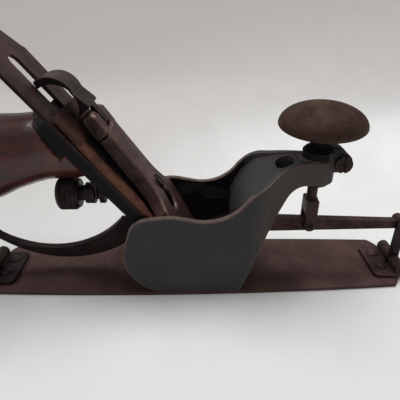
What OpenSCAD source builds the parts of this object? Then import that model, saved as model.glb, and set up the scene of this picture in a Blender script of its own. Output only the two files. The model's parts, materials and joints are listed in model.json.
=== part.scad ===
// Adjustable compass plane: a flexible sole bent by two geared levers, all moved by one knob.
// Origin: middle of the sole's underside. +X points to the toe, +Z up. Millimetres.

/* [Sole] */
// Length of the flexible sole
sole_l = 254; // [246:1:264]
// How far the sole stands out beyond each cheek
sole_edge = 0.3; // [0.1:0.1:2]
// How much narrower each side is at the brackets
sole_waist = 3; // [1:0.2:4]
// Thickness of the sole
sole_t = 2; // [1.6:0.1:2.4]
// Radius of the sole's corners
sole_corner_r = 17; // [8:1:20]
// Front edge of the mouth, ahead of mid-length
mouth_front_x = 18; // [17:0.5:20]
// Rear edge of the mouth, ahead of mid-length
mouth_rear_x = 7.4; // [6:0.2:7.6]
// Clear gap between the cutter and each end of the mouth
mouth_gap = 0.75; // [0.4:0.05:1.1]
// Radius of the sole screws
sole_screw_r = 2.5; // [2:0.1:3]

/* [Body] */
// Clear gap between the cutter and each cheek
iron_gap = 1.25; // [1:0.05:2]
// Thickness of a cheek
cheek_t = 3.5; // [3:0.1:3.6]
// Radius of the round rear lobe of a cheek
lobe_r = 26; // [25:0.5:27]
// Where the lobe's centre lies behind mid-length
lobe_x = -15.2; // [-16:0.2:-14]
// Radius of the dip in the cheek's top edge
dip_r = 26; // [22:1:30]
// Height of the dip's lowest point
dip_z = 49.9; // [47:0.1:51]
// Front foot of a cheek, ahead of mid-length
foot_x = 25.6; // [25:0.2:28]
// Where the cheek's front edge turns into the arm
knee_x = 43.6; // [42.6:0.2:44]
// Height of that turn
knee_z = 44.5; // [42:0.5:46]
// Radius of the hollow under the arm
arm_under_r = 12.5; // [11:0.5:13.5]
// Height of the arm's top
arm_top_z = 76; // [74.5:0.1:77]
// Radius of the round shoulder on top of the arm
arm_shoulder_r = 46; // [43:1:48]
// Thickness of the throat's curved front wall
ramp_t = 3.4; // [3:0.1:3.6]
// Foot of the throat's front wall, ahead of mid-length
ramp_x = 22.3; // [21:0.1:22.6]
// Radius of the throat's front wall
ramp_r = 43; // [40:0.5:45]
// Half the neck of the arm
neck_half_w = 10.2; // [9:0.1:10.6]
// Radius of the flare between neck and cheeks
neck_flare_r = 30; // [26:1:32]
// Thickness of the casting's floor
floor_t = 3.2; // [3:0.2:4]

/* [Adjusting screw] */
// Where the adjusting screw stands, ahead of mid-length
screw_x = 69.3; // [68:0.1:71]
// Radius of the boss round it
boss_r = 10.2; // [9.8:0.1:10.8]
// Underside of the boss
boss_z0 = 62.3; // [61:0.2:63]
// Radius of the boss's raised collar
collar_r = 8.8; // [8.4:0.1:9.4]
// Height of that collar
collar_h = 4.4; // [3.6:0.1:5]
// Radius of the threaded rod
rod_r = 3; // [2.8:0.1:3.3]
// Radius of the knob's stem
stem_r = 6.5; // [6:0.1:7]
// Radius of the knob's neck
neck_r = 5.2; // [5:0.1:6]
// Radius of the knob
knob_r = 24; // [22:0.1:26]
// Height of the knob's widest line
knob_z = 95; // [94:0.5:97]
// Rise of the knob's dome above that line
knob_rise = 12; // [9:0.5:14]
// Depth of the knob below that line
knob_drop = 6; // [5:0.5:8]
// Running clearance of turning parts
run = 0.08; // [0.04:0.01:0.1]
// Loose clearance of levers, slots and links
loose = 0.35; // [0.3:0.05:0.4]

/* [Clamp] */
// Distance of the clamp screw ahead of the adjusting screw
clamp_dx = 11.8; // [11.4:0.1:13.4]
// Height of the clamp screw
clamp_z = 75.2; // [73:0.2:76]
// Radius of the clamp's ears
ear_r = 5.6; // [5.4:0.1:6]
// Half the width over both ears
ear_half_w = 8; // [7:0.5:9]
// Radius of the clamp screw's head
clamp_head_r = 4.9; // [4.4:0.1:5.2]
// Thickness of the clamp screw's head
clamp_head_t = 2.9; // [2.6:0.1:4]
// Radius of the clamp screw's shank
clamp_shank_r = 2.3; // [2:0.1:2.8]
// Width of the split
split_w = 1.8; // [1.4:0.1:2.2]

/* [Levers] */
// Height of both lever shafts
pivot_z = 33; // [32:0.5:34]
// Front lever shaft, ahead of mid-length
front_pivot_x = 31.5; // [31:0.1:32]
// Rear lever shaft, behind mid-length
rear_pivot_x = -34; // [-35:0.1:-33]
// Radius of the shafts
shaft_r = 2.6; // [2.2:0.1:3]
// Radius of the levers' hubs
hub_r = 5.3; // [5:0.1:5.5]
// Thickness of both levers
lever_t = 5; // [4.5:0.5:6]
// Distance of both end hinges from mid-length
hinge_x = 126.5; // [125.5:0.1:127.5]
// Height of the front bar at the shaft
bar_h0 = 9.6; // [8:0.2:10]
// Height of the front bar at its end
bar_h1 = 5.5; // [5:0.1:6.4]
// Radius of the levers' end eyes
eye_r = 3.4; // [3.1:0.1:3.8]
// Height of the rear lever's eye
rear_eye_z = 31.5; // [31:0.1:32.5]
// Radius of the rear arm's lower curve
arm_low_r = 65.6; // [62:0.2:70]
// Centre of that curve, behind mid-length
arm_low_x = -78.5; // [-80:0.5:-77]
// Lowest point of the rear arm
arm_low_z = 10.6; // [10:0.2:12]
// Radius of the rear arm's upper curve
arm_up_r = 55.6; // [53:0.2:58]
// Centre of that curve, behind mid-length
arm_up_x = -87.5; // [-89:0.5:-86]
// Lowest point of the upper curve
arm_up_z = 17.8; // [17:0.2:19]
// Where the rear arm's curves turn into its straight tail
arm_tail_x = -119; // [-121:0.5:-116]
// Radius of link and hinge pins
pin_r = 1.7; // [1.5:0.05:1.9]
// Teeth in a whole turn of a sector
sector_teeth = 42; // [42:2:42]
// Thickness of a sector
sector_t = 1.9; // [1.6:0.1:2]
// Thickness of a link
link_side_t = 2.6; // [2:0.1:3]
// Width of a link between its eyes
link_w = 6; // [5:0.2:6.4]

/* [Brackets] */
// Inner edge of both brackets from mid-length
bracket_x = 110.7; // [109:0.1:112]
// Length of a bracket across the sole
bracket_w = 31; // [29:0.2:33]
// How far the brackets sit towards the near side
bracket_off = 2.4; // [0:0.1:3]
// Length of the hinge barrels
barrel_w = 28.4; // [26:0.2:30]
// Distance of each rivet from the middle of its pair
rivet_dy = 6.3; // [5.5:0.1:7]
// Distance of the rivets from a bracket's inner edge
rivet_dx = 7.3; // [5:0.1:7.4]
// Radius of the rivet heads
rivet_head_r = 3.7; // [3:0.1:3.8]
// Height of the rivet heads
rivet_head_h = 1.3; // [1:0.1:1.6]
// Thickness of a bracket's plate
bracket_t = 2.2; // [1.8:0.1:2.6]
// Height of the hinge pins
hinge_z = 6.8; // [6.4:0.1:7.4]
// Radius of a bracket's barrel
barrel_r = 3.6; // [3.4:0.1:3.9]

/* [Iron] */
// Angle of the bed above the sole
bed_angle = 52; // [51:0.5:53]
// Where the bed's plane meets the sole, ahead of mid-length
bed_x = 9.8; // [9.4:0.1:10.2]
// Thickness of the bed
bed_t = 5.8; // [5:0.2:6]
// Upper end of the bed along its slope
bed_top = 137.5; // [134:0.5:140]
// Width of the cutter
cutter_w = 44.5; // [43.5:0.1:44.6]
// Length of the cutter along the bed
cutter_l = 181; // [176:1:188]
// Thickness of the cutter
cutter_t = 2; // [1.8:0.1:2.2]
// Width of the cutter's slot
slot_w = 9.5; // [9:0.1:11]
// Upper end of the cutter's slot
slot_top = 166; // [164:0.5:168]
// Grinding angle of the cutter
grind = 25; // [22:1:30]
// Upper end of the cap iron
cap_iron_top = 131.5; // [129:0.5:133]
// Thickness of the cap iron
cap_iron_t = 2; // [1.8:0.1:2.2]
// Height of the cap iron's hump above the cutter
hump_h = 4; // [3.4:0.1:4.2]
// Gap under the cap iron's upper end
cap_iron_lift = 1.5; // [1:0.1:1.8]

/* [Lever cap] */
// Lower lip of the lever cap
cap_low = 19; // [18:0.5:20]
// Upper end of the lever cap
cap_top = 121.5; // [120:0.5:122]
// Half the width of the lever cap's shank
cap_half_w = 10.6; // [10:0.1:12]
// Half the width of the lever cap's lip
cap_lip_half_w = 21.2; // [20.5:0.1:21.6]
// Height of the cap's crown at its upper end
cap_high_n = 16.8; // [16.4:0.1:17.2]
// Height of the cap's lip above the bed
cap_lip_n = 5.6; // [5.4:0.1:6]
// Wall of the lever cap
cap_wall = 3; // [2.6:0.1:3.2]
// Where the lever cap screw stands
cap_screw_s = 68; // [67:0.5:69]
// Radius of its head
cap_screw_r = 3.7; // [3.5:0.1:3.9]
// Middle of the keyhole's wide end, up the bed
keyhole_s = 54; // [52:0.5:56]
// Radius of the keyhole's wide end
keyhole_r = 5.6; // [4.4:0.1:6]
// Pivot of the cam lever along the bed
cam_s = 115; // [114:0.5:115.5]
// Pivot of the cam lever above the bed
cam_n = 12.4; // [12.2:0.1:12.6]
// Reach of the cam lever past its pivot
cam_reach = 34.5; // [32:0.5:36]
// Half the width of the cam lever's thumb piece
thumb_half_w = 9.6; // [9:0.1:10.4]
// Radius of the hollow under the thumb piece
thumb_hollow_r = 11.8; // [11:0.1:12.2]

/* [Depth adjuster] */
// Height of the depth stud
stud_z = 55; // [54.5:0.1:55.5]
// Radius of the depth stud
stud_r = 2.4; // [2.2:0.1:2.6]
// Rear end of the depth nut
nut_x0 = -79.7; // [-80.5:0.1:-79]
// Radius of the nut's knurled wheel
wheel_r = 9.6; // [9:0.1:10]
// Length of the knurled wheel
wheel_l = 13; // [12:0.5:13.5]
// Radius of the nut's flange
flange_r = 6.2; // [6:0.1:6.4]
// Depth lever's pivot along the bed
fork_s = 88; // [87:0.5:89]
// Depth lever's pivot above the bed
fork_n = -8; // [-8.6:0.1:-7.6]

/* [Handle] */
// Droop of the handle's axis
handle_droop = 10; // [8:0.5:12]
// Where the handle's axis meets the bed's back
handle_s = 115.6; // [114:0.2:117]
// Length of the handle
handle_l = 77; // [70:1:84]
// Radius of the handle's foot
handle_foot_r = 20.4; // [19.5:0.1:21]
// Radius of the handle's waist
handle_waist_r = 18.6; // [17:0.1:19.4]
// Largest radius of the handle
handle_bulb_r = 25; // [22:0.5:27]
// Thickness of the pad that the handle stands on
handle_boss_t = 4.2; // [3:0.1:5]

/* [Hidden] */
$fn = 64;
eps = 0.01;
wide = 200;
inner_w = cutter_w + 2 * iron_gap;
body_w = inner_w + 2 * cheek_t;
sole_w = body_w + 2 * sole_edge;
mouth_w = cutter_w + 2 * mouth_gap;
sole_screw_y = cutter_w / 2 - 7.25;
clamp_x = screw_x + clamp_dx;
collar_top = max(arm_top_z + collar_h, clamp_z + ear_r) + 0.1;
sec_r = (front_pivot_x - rear_pivot_x) / 2;
sec_x = (front_pivot_x + rear_pivot_x) / 2;
sec_y = cutter_w / 2 + 0.45;
sec_pocket_y = sec_y + sector_t + 0.3;
sec_tip = 1.35;
sec_root = 1.75;
sec_hub_r = shaft_r + 1.3;
sec_teeth_front = [-2, -1, 0, 1, 2];
sec_teeth_rear = [-1.5, -0.5, 0.5, 1.5];
front_screw_x = (mouth_front_x + 0.6 + foot_x + 1) / 2;
rear_screw_x = lobe_x - 6;
link_half_w = lever_t / 2 + loose;
bracket_y = -bracket_off;
rivet_y = bracket_y + 1.1;
barrel_y0 = bracket_y - 0.6 - barrel_w / 2;
barrel_y1 = bracket_y - 0.6 + barrel_w / 2;
floor_top = sole_t + floor_t;
rod_pin_z = pivot_z;
cap_flat_n = cutter_t + cap_iron_t;
nut_wheel_x1 = nut_x0 + wheel_l;
nut_groove_x = nut_x0 + 23;
groove_w = 1.35;
bolt_in = 1.7;
nut_x1 = nut_x0 + 27.3;
stud_x1 = bed_x - stud_z / tan(bed_angle) - bed_t / sin(bed_angle);

// Places a piece in the bed's frame: -X runs up the slope, +Z stands out of the bed.
module on_bed() {
    translate([bed_x, 0, 0]) rotate([0, bed_angle, 0]) children();
}

// Extrudes a side profile, drawn as [x, z], across the body between two y values.
module across(y0, y1) {
    translate([0, y1, 0]) rotate([90, 0, 0]) linear_extrude(y1 - y0) children();
}

// A round bar along Y.
module bar_y(x, z, r, y0, y1) {
    translate([x, y1, z]) rotate([90, 0, 0]) cylinder(h = y1 - y0, r = r);
}

// A block between two corners.
module block(a, b) {
    translate(a) cube([b[0] - a[0], b[1] - a[1], b[2] - a[2]]);
}

// A slot with round ends along X, centred on y = 0.
module slot2d(x0, x1, w) {
    translate([x0, -w / 2]) square([x1 - x0, w]);
    translate([x0, 0]) circle(w / 2);
    translate([x1, 0]) circle(w / 2);
}

module round_rect(l, w, r) {
    square([l - 2 * r, w], center = true);
    square([l, w - 2 * r], center = true);
    for (sx = [-1, 1], sy = [-1, 1]) translate([sx * (l / 2 - r), sy * (w / 2 - r)]) circle(r);
}

// Point on a circle round c at an angle.
function rim(c, r, a) = [c[0] + r * cos(a), c[1] + r * sin(a)];

// Side outline of cheek and arm.
module side_2d() {
    top = [knee_x + 16.4, arm_top_z - arm_shoulder_r];
    under = [knee_x + 18.3, boss_z0 - arm_under_r];
    foot = [foot_x, sole_t];
    rise = [knee_x - foot_x, knee_z - sole_t];
    to_knee = [knee_x - under[0], knee_z - under[1]];
    meet = atan2(to_knee[1], to_knee[0]) - acos(arm_under_r / norm(to_knee));
    lobe = [lobe_x, sole_t + lobe_r - 1];
    hump = [lobe_x - 10.6, sole_t + lobe_r + 11.6];
    hump_r = lobe_r - 13.8;
    difference() {
        union() {
            translate(lobe) circle(lobe_r);
            translate(hump) circle(hump_r);
            polygon([rim(hump, hump_r, 163.2), rim(hump, hump_r, 97), rim(lobe, lobe_r, 97), lobe,
                rim(lobe, lobe_r, 163.2)]);
            polygon([[lobe_x, sole_t], foot, [foot[0] + 0.43 * rise[0], foot[1] + 0.5 * rise[1]],
                [foot[0] + 0.62 * rise[0], foot[1] + 0.73 * rise[1]], [foot[0] + 0.8 * rise[0],
                foot[1] + 0.89 * rise[1]], [knee_x, knee_z], [under[0], boss_z0], [screw_x, boss_z0],
                [screw_x, arm_top_z], [top[0], arm_top_z], rim(top, arm_shoulder_r, 132), [18, dip_z + 3.5],
                [4, dip_z + 3], [-0.3, dip_z + 0.55], rim(lobe, lobe_r, 78.2)]);
            intersection() {
                translate(top) circle(arm_shoulder_r);
                polygon([rim(top, arm_shoulder_r, 132), rim(top, arm_shoulder_r + 20, 132),
                    [top[0], arm_top_z + 20], [top[0], arm_top_z - 10]]);
            }
        }
        translate([5, dip_z + dip_r]) circle(dip_r);
        translate(under) circle(arm_under_r);
        translate([under[0], 0]) square([60, boss_z0]);
        polygon([[knee_x, knee_z], rim(under, arm_under_r, meet), under, [under[0], 0], [knee_x, 0]]);
        translate([-wide, sole_t - wide]) square([2 * wide, wide]);
    }
}

// Plan outline of body and arm, drawn inwards by t.
module plan_2d(t, rear) {
    hw = body_w / 2 - t;
    nw = neck_half_w - t;
    fx = front_pivot_x - 1;
    cy = body_w / 2 - 14;
    flare_y = neck_half_w + neck_flare_r;
    reach = 14 + neck_flare_r;
    along = sqrt(reach * reach - (flare_y - cy) * (flare_y - cy));
    tx = fx + (14 - t) * along / reach;
    ty = cy + (14 - t) * (flare_y - cy) / reach;
    translate([rear, -hw]) square([fx - rear, 2 * hw]);
    for (sy = [-1, 1]) translate([fx, sy * cy]) circle(14 - t);
    difference() {
        polygon([[fx, -cy], [tx, -ty], [fx + along, -nw], [screw_x, -nw], [screw_x, nw], [fx + along, nw],
            [tx, ty], [fx, cy]]);
        for (sy = [-1, 1]) translate([fx + along, sy * flare_y]) circle(neck_flare_r + t);
    }
}

// The throat's curved front wall and the arm's top plate.
module ramp_2d() {
    cx = ramp_x + ramp_r;
    cz = arm_top_z - ramp_r;
    intersection() {
        difference() {
            union() {
                translate([cx, cz]) circle(ramp_r);
                translate([ramp_x, 0]) square([wide, cz]);
            }
            translate([cx, cz]) circle(ramp_r - ramp_t);
            translate([ramp_x + ramp_t, -1]) square([wide, cz + 1]);
        }
        translate([0, sole_t]) square([screw_x, wide]);
    }
}

// Room for both sectors and their swing, seen from the side.
module sector_room_2d() {
    z = pivot_z;
    r = sec_hub_r + 0.5;
    translate([front_pivot_x, z]) circle(r);
    translate([rear_pivot_x, z]) circle(r);
    polygon([[front_pivot_x, z + r - 0.1], [sec_x + 6, z + 15], [sec_x - 6, z + 15], [rear_pivot_x, z + r - 0.1],
        [rear_pivot_x, z - r + 0.1], [sec_x - 6, z - 15], [sec_x + 6, z - 15], [front_pivot_x, z - r + 0.1]]);
}

module bed_plate() {
    on_bed() difference() {
        block([-bed_top, -cutter_w / 2, -bed_t], [-9, cutter_w / 2, 0]);
        // recess for the cap iron screw
        translate([0, 0, -4.2]) linear_extrude(10) slot2d(-112, -104, 18.6);
        // slot for the depth lever
        translate([0, 0, -20]) linear_extrude(40) translate([-fork_s - 8, -3.6]) square([17, 7.2]);
        // clipped upper corners
        for (sy = [-1, 1]) translate([-bed_top, sy * cutter_w / 2, -10]) rotate([0, 0, 45])
            cube([7, 7, 40], center = true);
    }
}

module body_solid() {
    difference() {
        union() {
            intersection() {
                across(-wide, wide) side_2d();
                linear_extrude(wide) difference() {
                    plan_2d(0, -60);
                    plan_2d(cheek_t, -70);
                }
            }
            intersection() {
                across(-wide, wide) intersection() { ramp_2d(); side_2d(); }
                linear_extrude(wide) plan_2d(cheek_t / 2, -60);
            }
            intersection() {
                bed_plate();
                block([-wide, -wide, sole_t], [wide, wide, wide]);
            }
            // side webs that carry the bed on the cheeks
            intersection() {
                on_bed() for (sy = [-1, 1]) translate([-62, sy * (inner_w / 2) - 1.8, -bed_t])
                    cube([56, 3.6, bed_t]);
                block([-wide, -body_w / 2, sole_t], [wide, body_w / 2, wide]);
            }
            // floor ahead of and behind the mouth
            block([mouth_front_x + 0.6, -inner_w / 2 - 1, sole_t], [foot_x + 1, inner_w / 2 + 1, floor_top + 1]);
            block([lobe_x - 12, -inner_w / 2 - 1, sole_t], [mouth_rear_x - 3, inner_w / 2 + 1, floor_top]);
            // split boss and ears
            translate([screw_x, 0, boss_z0]) cylinder(h = arm_top_z - boss_z0, r = boss_r);
            translate([screw_x, 0, arm_top_z - 1]) cylinder(h = collar_top - arm_top_z + 1, r = collar_r);
            bar_y(clamp_x, clamp_z, ear_r, -ear_half_w, ear_half_w);
            block([screw_x, -ear_half_w, clamp_z - ear_r], [clamp_x, ear_half_w, clamp_z + ear_r]);
            // boss of the depth stud
            intersection() {
                translate([stud_x1 - 8, 0, stud_z]) rotate([0, 90, 0]) cylinder(h = 14, r = 5);
                on_bed() block([-wide, -wide, -wide], [wide, wide, -1]);
            }
            // ears of the depth lever's pin
            on_bed() for (sy = [-1, 1]) {
                bar_y(-fork_s, fork_n, 3.2, sy * 4.6 - 1.4, sy * 4.6 + 1.4);
                block([-fork_s - 3.2, sy * 4.6 - 1.4, fork_n], [-fork_s + 3.2, sy * 4.6 + 1.4, -bed_t + 1]);
            }
            // boss of the handle
            handle_boss();
        }
        // bore of the stem, ears' bores and split
        translate([screw_x, 0, boss_z0 - 5]) cylinder(h = 40, r = stem_r + run);
        bar_y(clamp_x, clamp_z, clamp_shank_r + run, -20, 20);
        // flat seat of the clamp screw's head
        bar_y(clamp_x, clamp_z, clamp_head_r + 0.4, -ear_half_w - 8, -ear_half_w);
        block([screw_x, -split_w / 2, boss_z0 - 5], [clamp_x + 20, split_w / 2, 100]);
        // oval window in the arm's top
        translate([51, 0, 62]) linear_extrude(30) rotate([0, 0, 90]) slot2d(-2.2, 2.2, 10.4);
        // shaft bores: blind on the near side, through on the far side
        for (x = [front_pivot_x, rear_pivot_x])
            bar_y(x, pivot_z, shaft_r + run, -inner_w / 2 - 2, body_w);
        // pocket and notches for the sectors
        across(sec_y - 0.35, sec_pocket_y) sector_room_2d();
        // threads of the sole screws
        for (x = [front_screw_x, rear_screw_x], y = [-sole_screw_y, sole_screw_y])
            translate([x, y, 0]) cylinder(h = sole_t + 3.4, r = sole_screw_r - 0.5);
        // stud and handle bolt
        translate([stud_x1 - 20, 0, stud_z]) rotate([0, 90, 0]) cylinder(h = 24, r = stud_r);
        handle_axis() translate([0, 0, -bolt_in - 0.3]) cylinder(h = 30, r = 2.6);
        // threaded hole of the lever cap screw
        on_bed() translate([-cap_screw_s, 0, -bed_t]) cylinder(h = bed_t + 2, r = 2.2 + run);
        // pin of the depth lever
        on_bed() bar_y(-fork_s, fork_n, 1.5, -8, 8);
    }
}

module body() {
    color([0.20, 0.20, 0.21]) body_solid();
}

module sole_plan() {
    big = (bracket_x * bracket_x) / (2 * sole_waist);
    intersection() {
        round_rect(sole_l, sole_w + 2, sole_corner_r + 1);
        translate([0, sole_w / 2 - big]) circle(big, $fn = 720);
        translate([0, big - sole_w / 2]) circle(big, $fn = 720);
    }
}

module sole() {
    color([0.30, 0.17, 0.15]) difference() {
        linear_extrude(sole_t) sole_plan();
        block([mouth_rear_x, -mouth_w / 2, -1], [mouth_front_x, mouth_w / 2, sole_t + 1]);
        for (x = [front_screw_x, rear_screw_x], y = [-sole_screw_y, sole_screw_y]) translate([x, y, -eps])
            rotate_extrude() polygon([[0, 0], [sole_screw_r + 1.6, 0], [sole_screw_r, 1.6],
                [sole_screw_r, sole_t + 1], [0, sole_t + 1]]);
    }
}

module sole_screws() {
    color([0.35, 0.30, 0.27]) for (x = [front_screw_x, rear_screw_x], y = [-sole_screw_y, sole_screw_y]) translate([x, y, 0])
        difference() {
            rotate_extrude() polygon([[0, 0.05], [sole_screw_r + 1.5, 0.05], [sole_screw_r - 0.1, 1.6],
                [sole_screw_r - 0.5, sole_t], [sole_screw_r - 0.5, sole_t + 3.2], [0, sole_t + 3.2]]);
            block([-5, -0.4, -1], [5, 0.4, 0.8]);
        }
}

// Bracket at one end; dir is 1 at the toe and -1 at the heel.
module bracket(dir) {
    y0 = bracket_y - bracket_w / 2;
    y1 = bracket_y + bracket_w / 2;
    link_y = -link_half_w - link_side_t;
    mirror([dir < 0 ? 1 : 0, 0, 0]) difference() {
        union() {
            translate([0, 0, sole_t]) linear_extrude(bracket_t) intersection() {
                translate([bracket_x, y0]) square([hinge_x - bracket_x, bracket_w]);
                translate([(bracket_x + hinge_x + 4.2) / 2, bracket_y])
                    round_rect(hinge_x - bracket_x + 4.2, bracket_w, 3.4);
            }
            bar_y(hinge_x, hinge_z, barrel_r, barrel_y0, barrel_y1);
            block([hinge_x - 3.3, y0, sole_t], [hinge_x + 1.6, y1 - 2, hinge_z - 2]);
        }
        block([hinge_x - barrel_r - 0.7, link_y - 0.3, sole_t - 1],
            [hinge_x + 9, link_y + link_side_t + 0.3, hinge_z + 9]);
        bar_y(hinge_x, hinge_z, pin_r, -bracket_w, bracket_w);
        for (sy = [-1, 1]) translate([bracket_x + rivet_dx, rivet_y + sy * rivet_dy, 0]) cylinder(h = 20, r = 1.6);
    }
}

module rivets(dir) {
    ball = (rivet_head_r * rivet_head_r + rivet_head_h * rivet_head_h) / (2 * rivet_head_h);
    mirror([dir < 0 ? 1 : 0, 0, 0]) for (sy = [-1, 1]) translate([bracket_x + rivet_dx, rivet_y + sy * rivet_dy, 0]) {
        translate([0, 0, sole_t]) cylinder(h = bracket_t + 0.4, r = 1.6);
        translate([0, 0, sole_t + bracket_t]) intersection() {
            translate([0, 0, rivet_head_h - ball]) sphere(r = ball);
            cylinder(h = 5, r = 5);
        }
    }
}

module hinge_pin(dir) {
    color([0.32, 0.24, 0.21]) bar_y(dir * hinge_x, hinge_z, pin_r, barrel_y0, barrel_y1);
}

module toe_bracket() { color([0.29, 0.17, 0.15]) bracket(1); }
module heel_bracket() { color([0.29, 0.17, 0.15]) bracket(-1); }
module toe_rivets() { color([0.33, 0.20, 0.17]) rivets(1); }
module heel_rivets() { color([0.33, 0.20, 0.17]) rivets(-1); }
module toe_hinge_pin() { hinge_pin(1); }
module heel_hinge_pin() { hinge_pin(-1); }

module front_lever() {
    color([0.30, 0.18, 0.16]) difference() {
        union() {
            across(-lever_t / 2, lever_t / 2) polygon([[front_pivot_x, pivot_z - bar_h0 / 2],
                [hinge_x - 2, pivot_z - bar_h0 / 2], [hinge_x + 1.4, pivot_z - eye_r + 0.4], [hinge_x, pivot_z],
                [hinge_x - 2, pivot_z - bar_h0 / 2 + bar_h1], [front_pivot_x, pivot_z + bar_h0 / 2]]);
            bar_y(front_pivot_x, pivot_z, hub_r, -lever_t / 2 - 3, lever_t / 2 + 3);
            bar_y(hinge_x, pivot_z, eye_r, -lever_t / 2, lever_t / 2);
        }
        bar_y(front_pivot_x, pivot_z, shaft_r, -20, 20);
        bar_y(hinge_x, pivot_z, pin_r, -20, 20);
        bar_y(screw_x, rod_pin_z, pin_r + loose, -20, 20);
    }
}

// Lower and upper curve of the rear arm.
function arm_low(x) = arm_low_z + arm_low_r - sqrt(arm_low_r * arm_low_r - (x - arm_low_x) * (x - arm_low_x));
function arm_up(x) = arm_up_z + arm_up_r - sqrt(arm_up_r * arm_up_r - (x - arm_up_x) * (x - arm_up_x));

module rear_lever() {
    color([0.30, 0.18, 0.16]) difference() {
        union() {
            across(-lever_t / 2, lever_t / 2) intersection() {
                difference() {
                    translate([arm_low_x, arm_low_z + arm_low_r]) circle(arm_low_r);
                    translate([arm_up_x, arm_up_z + arm_up_r]) circle(arm_up_r);
                }
                polygon([[arm_tail_x, 0], [rear_pivot_x - 2, 0], [rear_pivot_x - 2, pivot_z + 2],
                    [rear_pivot_x - 10, pivot_z + 5], [rear_pivot_x - 30, pivot_z + 1], [arm_tail_x, pivot_z + 1]]);
            }
            across(-lever_t / 2, lever_t / 2) polygon([[arm_tail_x + 1, arm_low(arm_tail_x + 1)],
                [arm_tail_x + 1, arm_up(arm_tail_x + 1)], [arm_tail_x, arm_up(arm_tail_x)],
                [-hinge_x + 0.9, rear_eye_z + eye_r - 0.9], [-hinge_x - 0.6, rear_eye_z - eye_r + 0.9],
                [arm_tail_x, arm_low(arm_tail_x)]]);
            bar_y(rear_pivot_x, pivot_z, hub_r + 1, -lever_t / 2 - 3, lever_t / 2 + 3);
            bar_y(-hinge_x, rear_eye_z, eye_r, -lever_t / 2, lever_t / 2);
        }
        bar_y(rear_pivot_x, pivot_z, shaft_r, -20, 20);
        bar_y(-hinge_x, rear_eye_z, pin_r, -20, 20);
    }
}

module shaft(x) {
    color([0.45, 0.42, 0.40]) bar_y(x, pivot_z, shaft_r, -inner_w / 2 - 1.7, body_w / 2);
}
module front_shaft() { shaft(front_pivot_x); }
module rear_shaft() { shaft(rear_pivot_x); }

// One tooth of a sector, drawn along +X at the pitch radius.
module tooth() {
    polygon([[sec_r - sec_root - 1, -1.75], [sec_r - sec_root, -1.6], [sec_r, -1.04], [sec_r + sec_tip, -0.52],
        [sec_r + sec_tip, 0.52], [sec_r, 1.04], [sec_r - sec_root, 1.6], [sec_r - sec_root - 1, 1.75]]);
}

// Toothed sector on a shaft; dir is the side on which its teeth lie, teeth lists them in pitches.
module sector(x, dir, teeth) {
    pitch = 360 / sector_teeth;
    edge = (sec_r - sec_root) * sin(max(teeth) * pitch) + 1.7;
    color([0.40, 0.38, 0.37]) translate([x, sec_y + sector_t, pivot_z]) rotate([90, 0, 0])
        linear_extrude(sector_t) rotate(dir > 0 ? 0 : 180) difference() {
            union() {
                circle(sec_hub_r);
                intersection() {
                    circle(sec_r - sec_root);
                    polygon([[0, -3.6], [sec_r - 7, -6.4], [sec_r - 3, -edge], [sec_r + 4, -edge], [sec_r + 4, edge],
                        [sec_r - 3, edge], [sec_r - 7, 6.4], [0, 3.6]]);
                }
                for (k = teeth) rotate(k * pitch) tooth();
            }
            circle(shaft_r);
        }
}
module front_sector() { sector(front_pivot_x, -1, sec_teeth_front); }
module rear_sector() { sector(rear_pivot_x, 1, sec_teeth_rear); }

// Flat link beside a lever's eye, down to the slot in a bracket's barrel.
module link(x, top_z) {
    y0 = -link_half_w - link_side_t;
    color([0.27, 0.17, 0.15]) difference() {
        union() {
            bar_y(x, top_z, eye_r, y0, y0 + link_side_t);
            block([x - link_w / 2, y0, hinge_z], [x + link_w / 2, y0 + link_side_t, top_z]);
            bar_y(x, hinge_z, barrel_r, y0, y0 + link_side_t);
        }
        bar_y(x, top_z, pin_r + run, -20, 20);
        bar_y(x, hinge_z, pin_r + loose, -20, 20);
    }
}
module front_link() { link(hinge_x, pivot_z); }
module rear_link() { link(-hinge_x, rear_eye_z); }
module link_pin(x, z) {
    color([0.35, 0.26, 0.23]) {
        bar_y(x, z, pin_r, -link_half_w - link_side_t, lever_t / 2 + 0.1);
        bar_y(x, z, eye_r - 0.3, lever_t / 2 + 0.02, lever_t / 2 + 1.2);
    }
}
module front_link_pin() { link_pin(hinge_x, pivot_z); }
module rear_link_pin() { link_pin(-hinge_x, rear_eye_z); }

module adjusting_rod() {
    color([0.34, 0.20, 0.17]) difference() {
        union() {
            translate([screw_x, 0, rod_pin_z + 14]) cylinder(h = knob_z - rod_pin_z - 15, r = rod_r);
            intersection() {
                block([screw_x - rod_r - 0.6, -lever_t / 2 - 3.4, rod_pin_z - 4.1], [screw_x + rod_r + 0.6,
                    lever_t / 2 + 3.4, rod_pin_z + 17]);
                translate([screw_x, 0, rod_pin_z]) union() {
                    rotate([90, 0, 0]) cylinder(h = 40, r = 4.1, center = true);
                    translate([-5, -20, 0]) cube([10, 40, 17]);
                }
            }
        }
        block([screw_x - 10, -lever_t / 2 - loose, rod_pin_z - 10], [screw_x + 10, lever_t / 2 + loose,
            rod_pin_z + bar_h0 / 2 + 3]);
        bar_y(screw_x, rod_pin_z, pin_r, -20, 20);
    }
}

module fork_pin() {
    color([0.40, 0.28, 0.24]) bar_y(screw_x, rod_pin_z, pin_r, -lever_t / 2 - 3.4, lever_t / 2 + 3.4);
}

// Dome of the knob as points on two quarter ovals, from the top down to the neck.
function knob_dome() = [for (a = [90 : -7.5 : 0]) [(knob_r - 3) * pow(cos(a), 0.8) + 3 * cos(a) * cos(a),
    knob_z + knob_rise * sin(a)]];
function knob_under() = [for (a = [-10 : -10 : -70]) [neck_r + (knob_r - neck_r) * cos(a),
    knob_z + knob_drop * sin(a)]];

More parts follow.
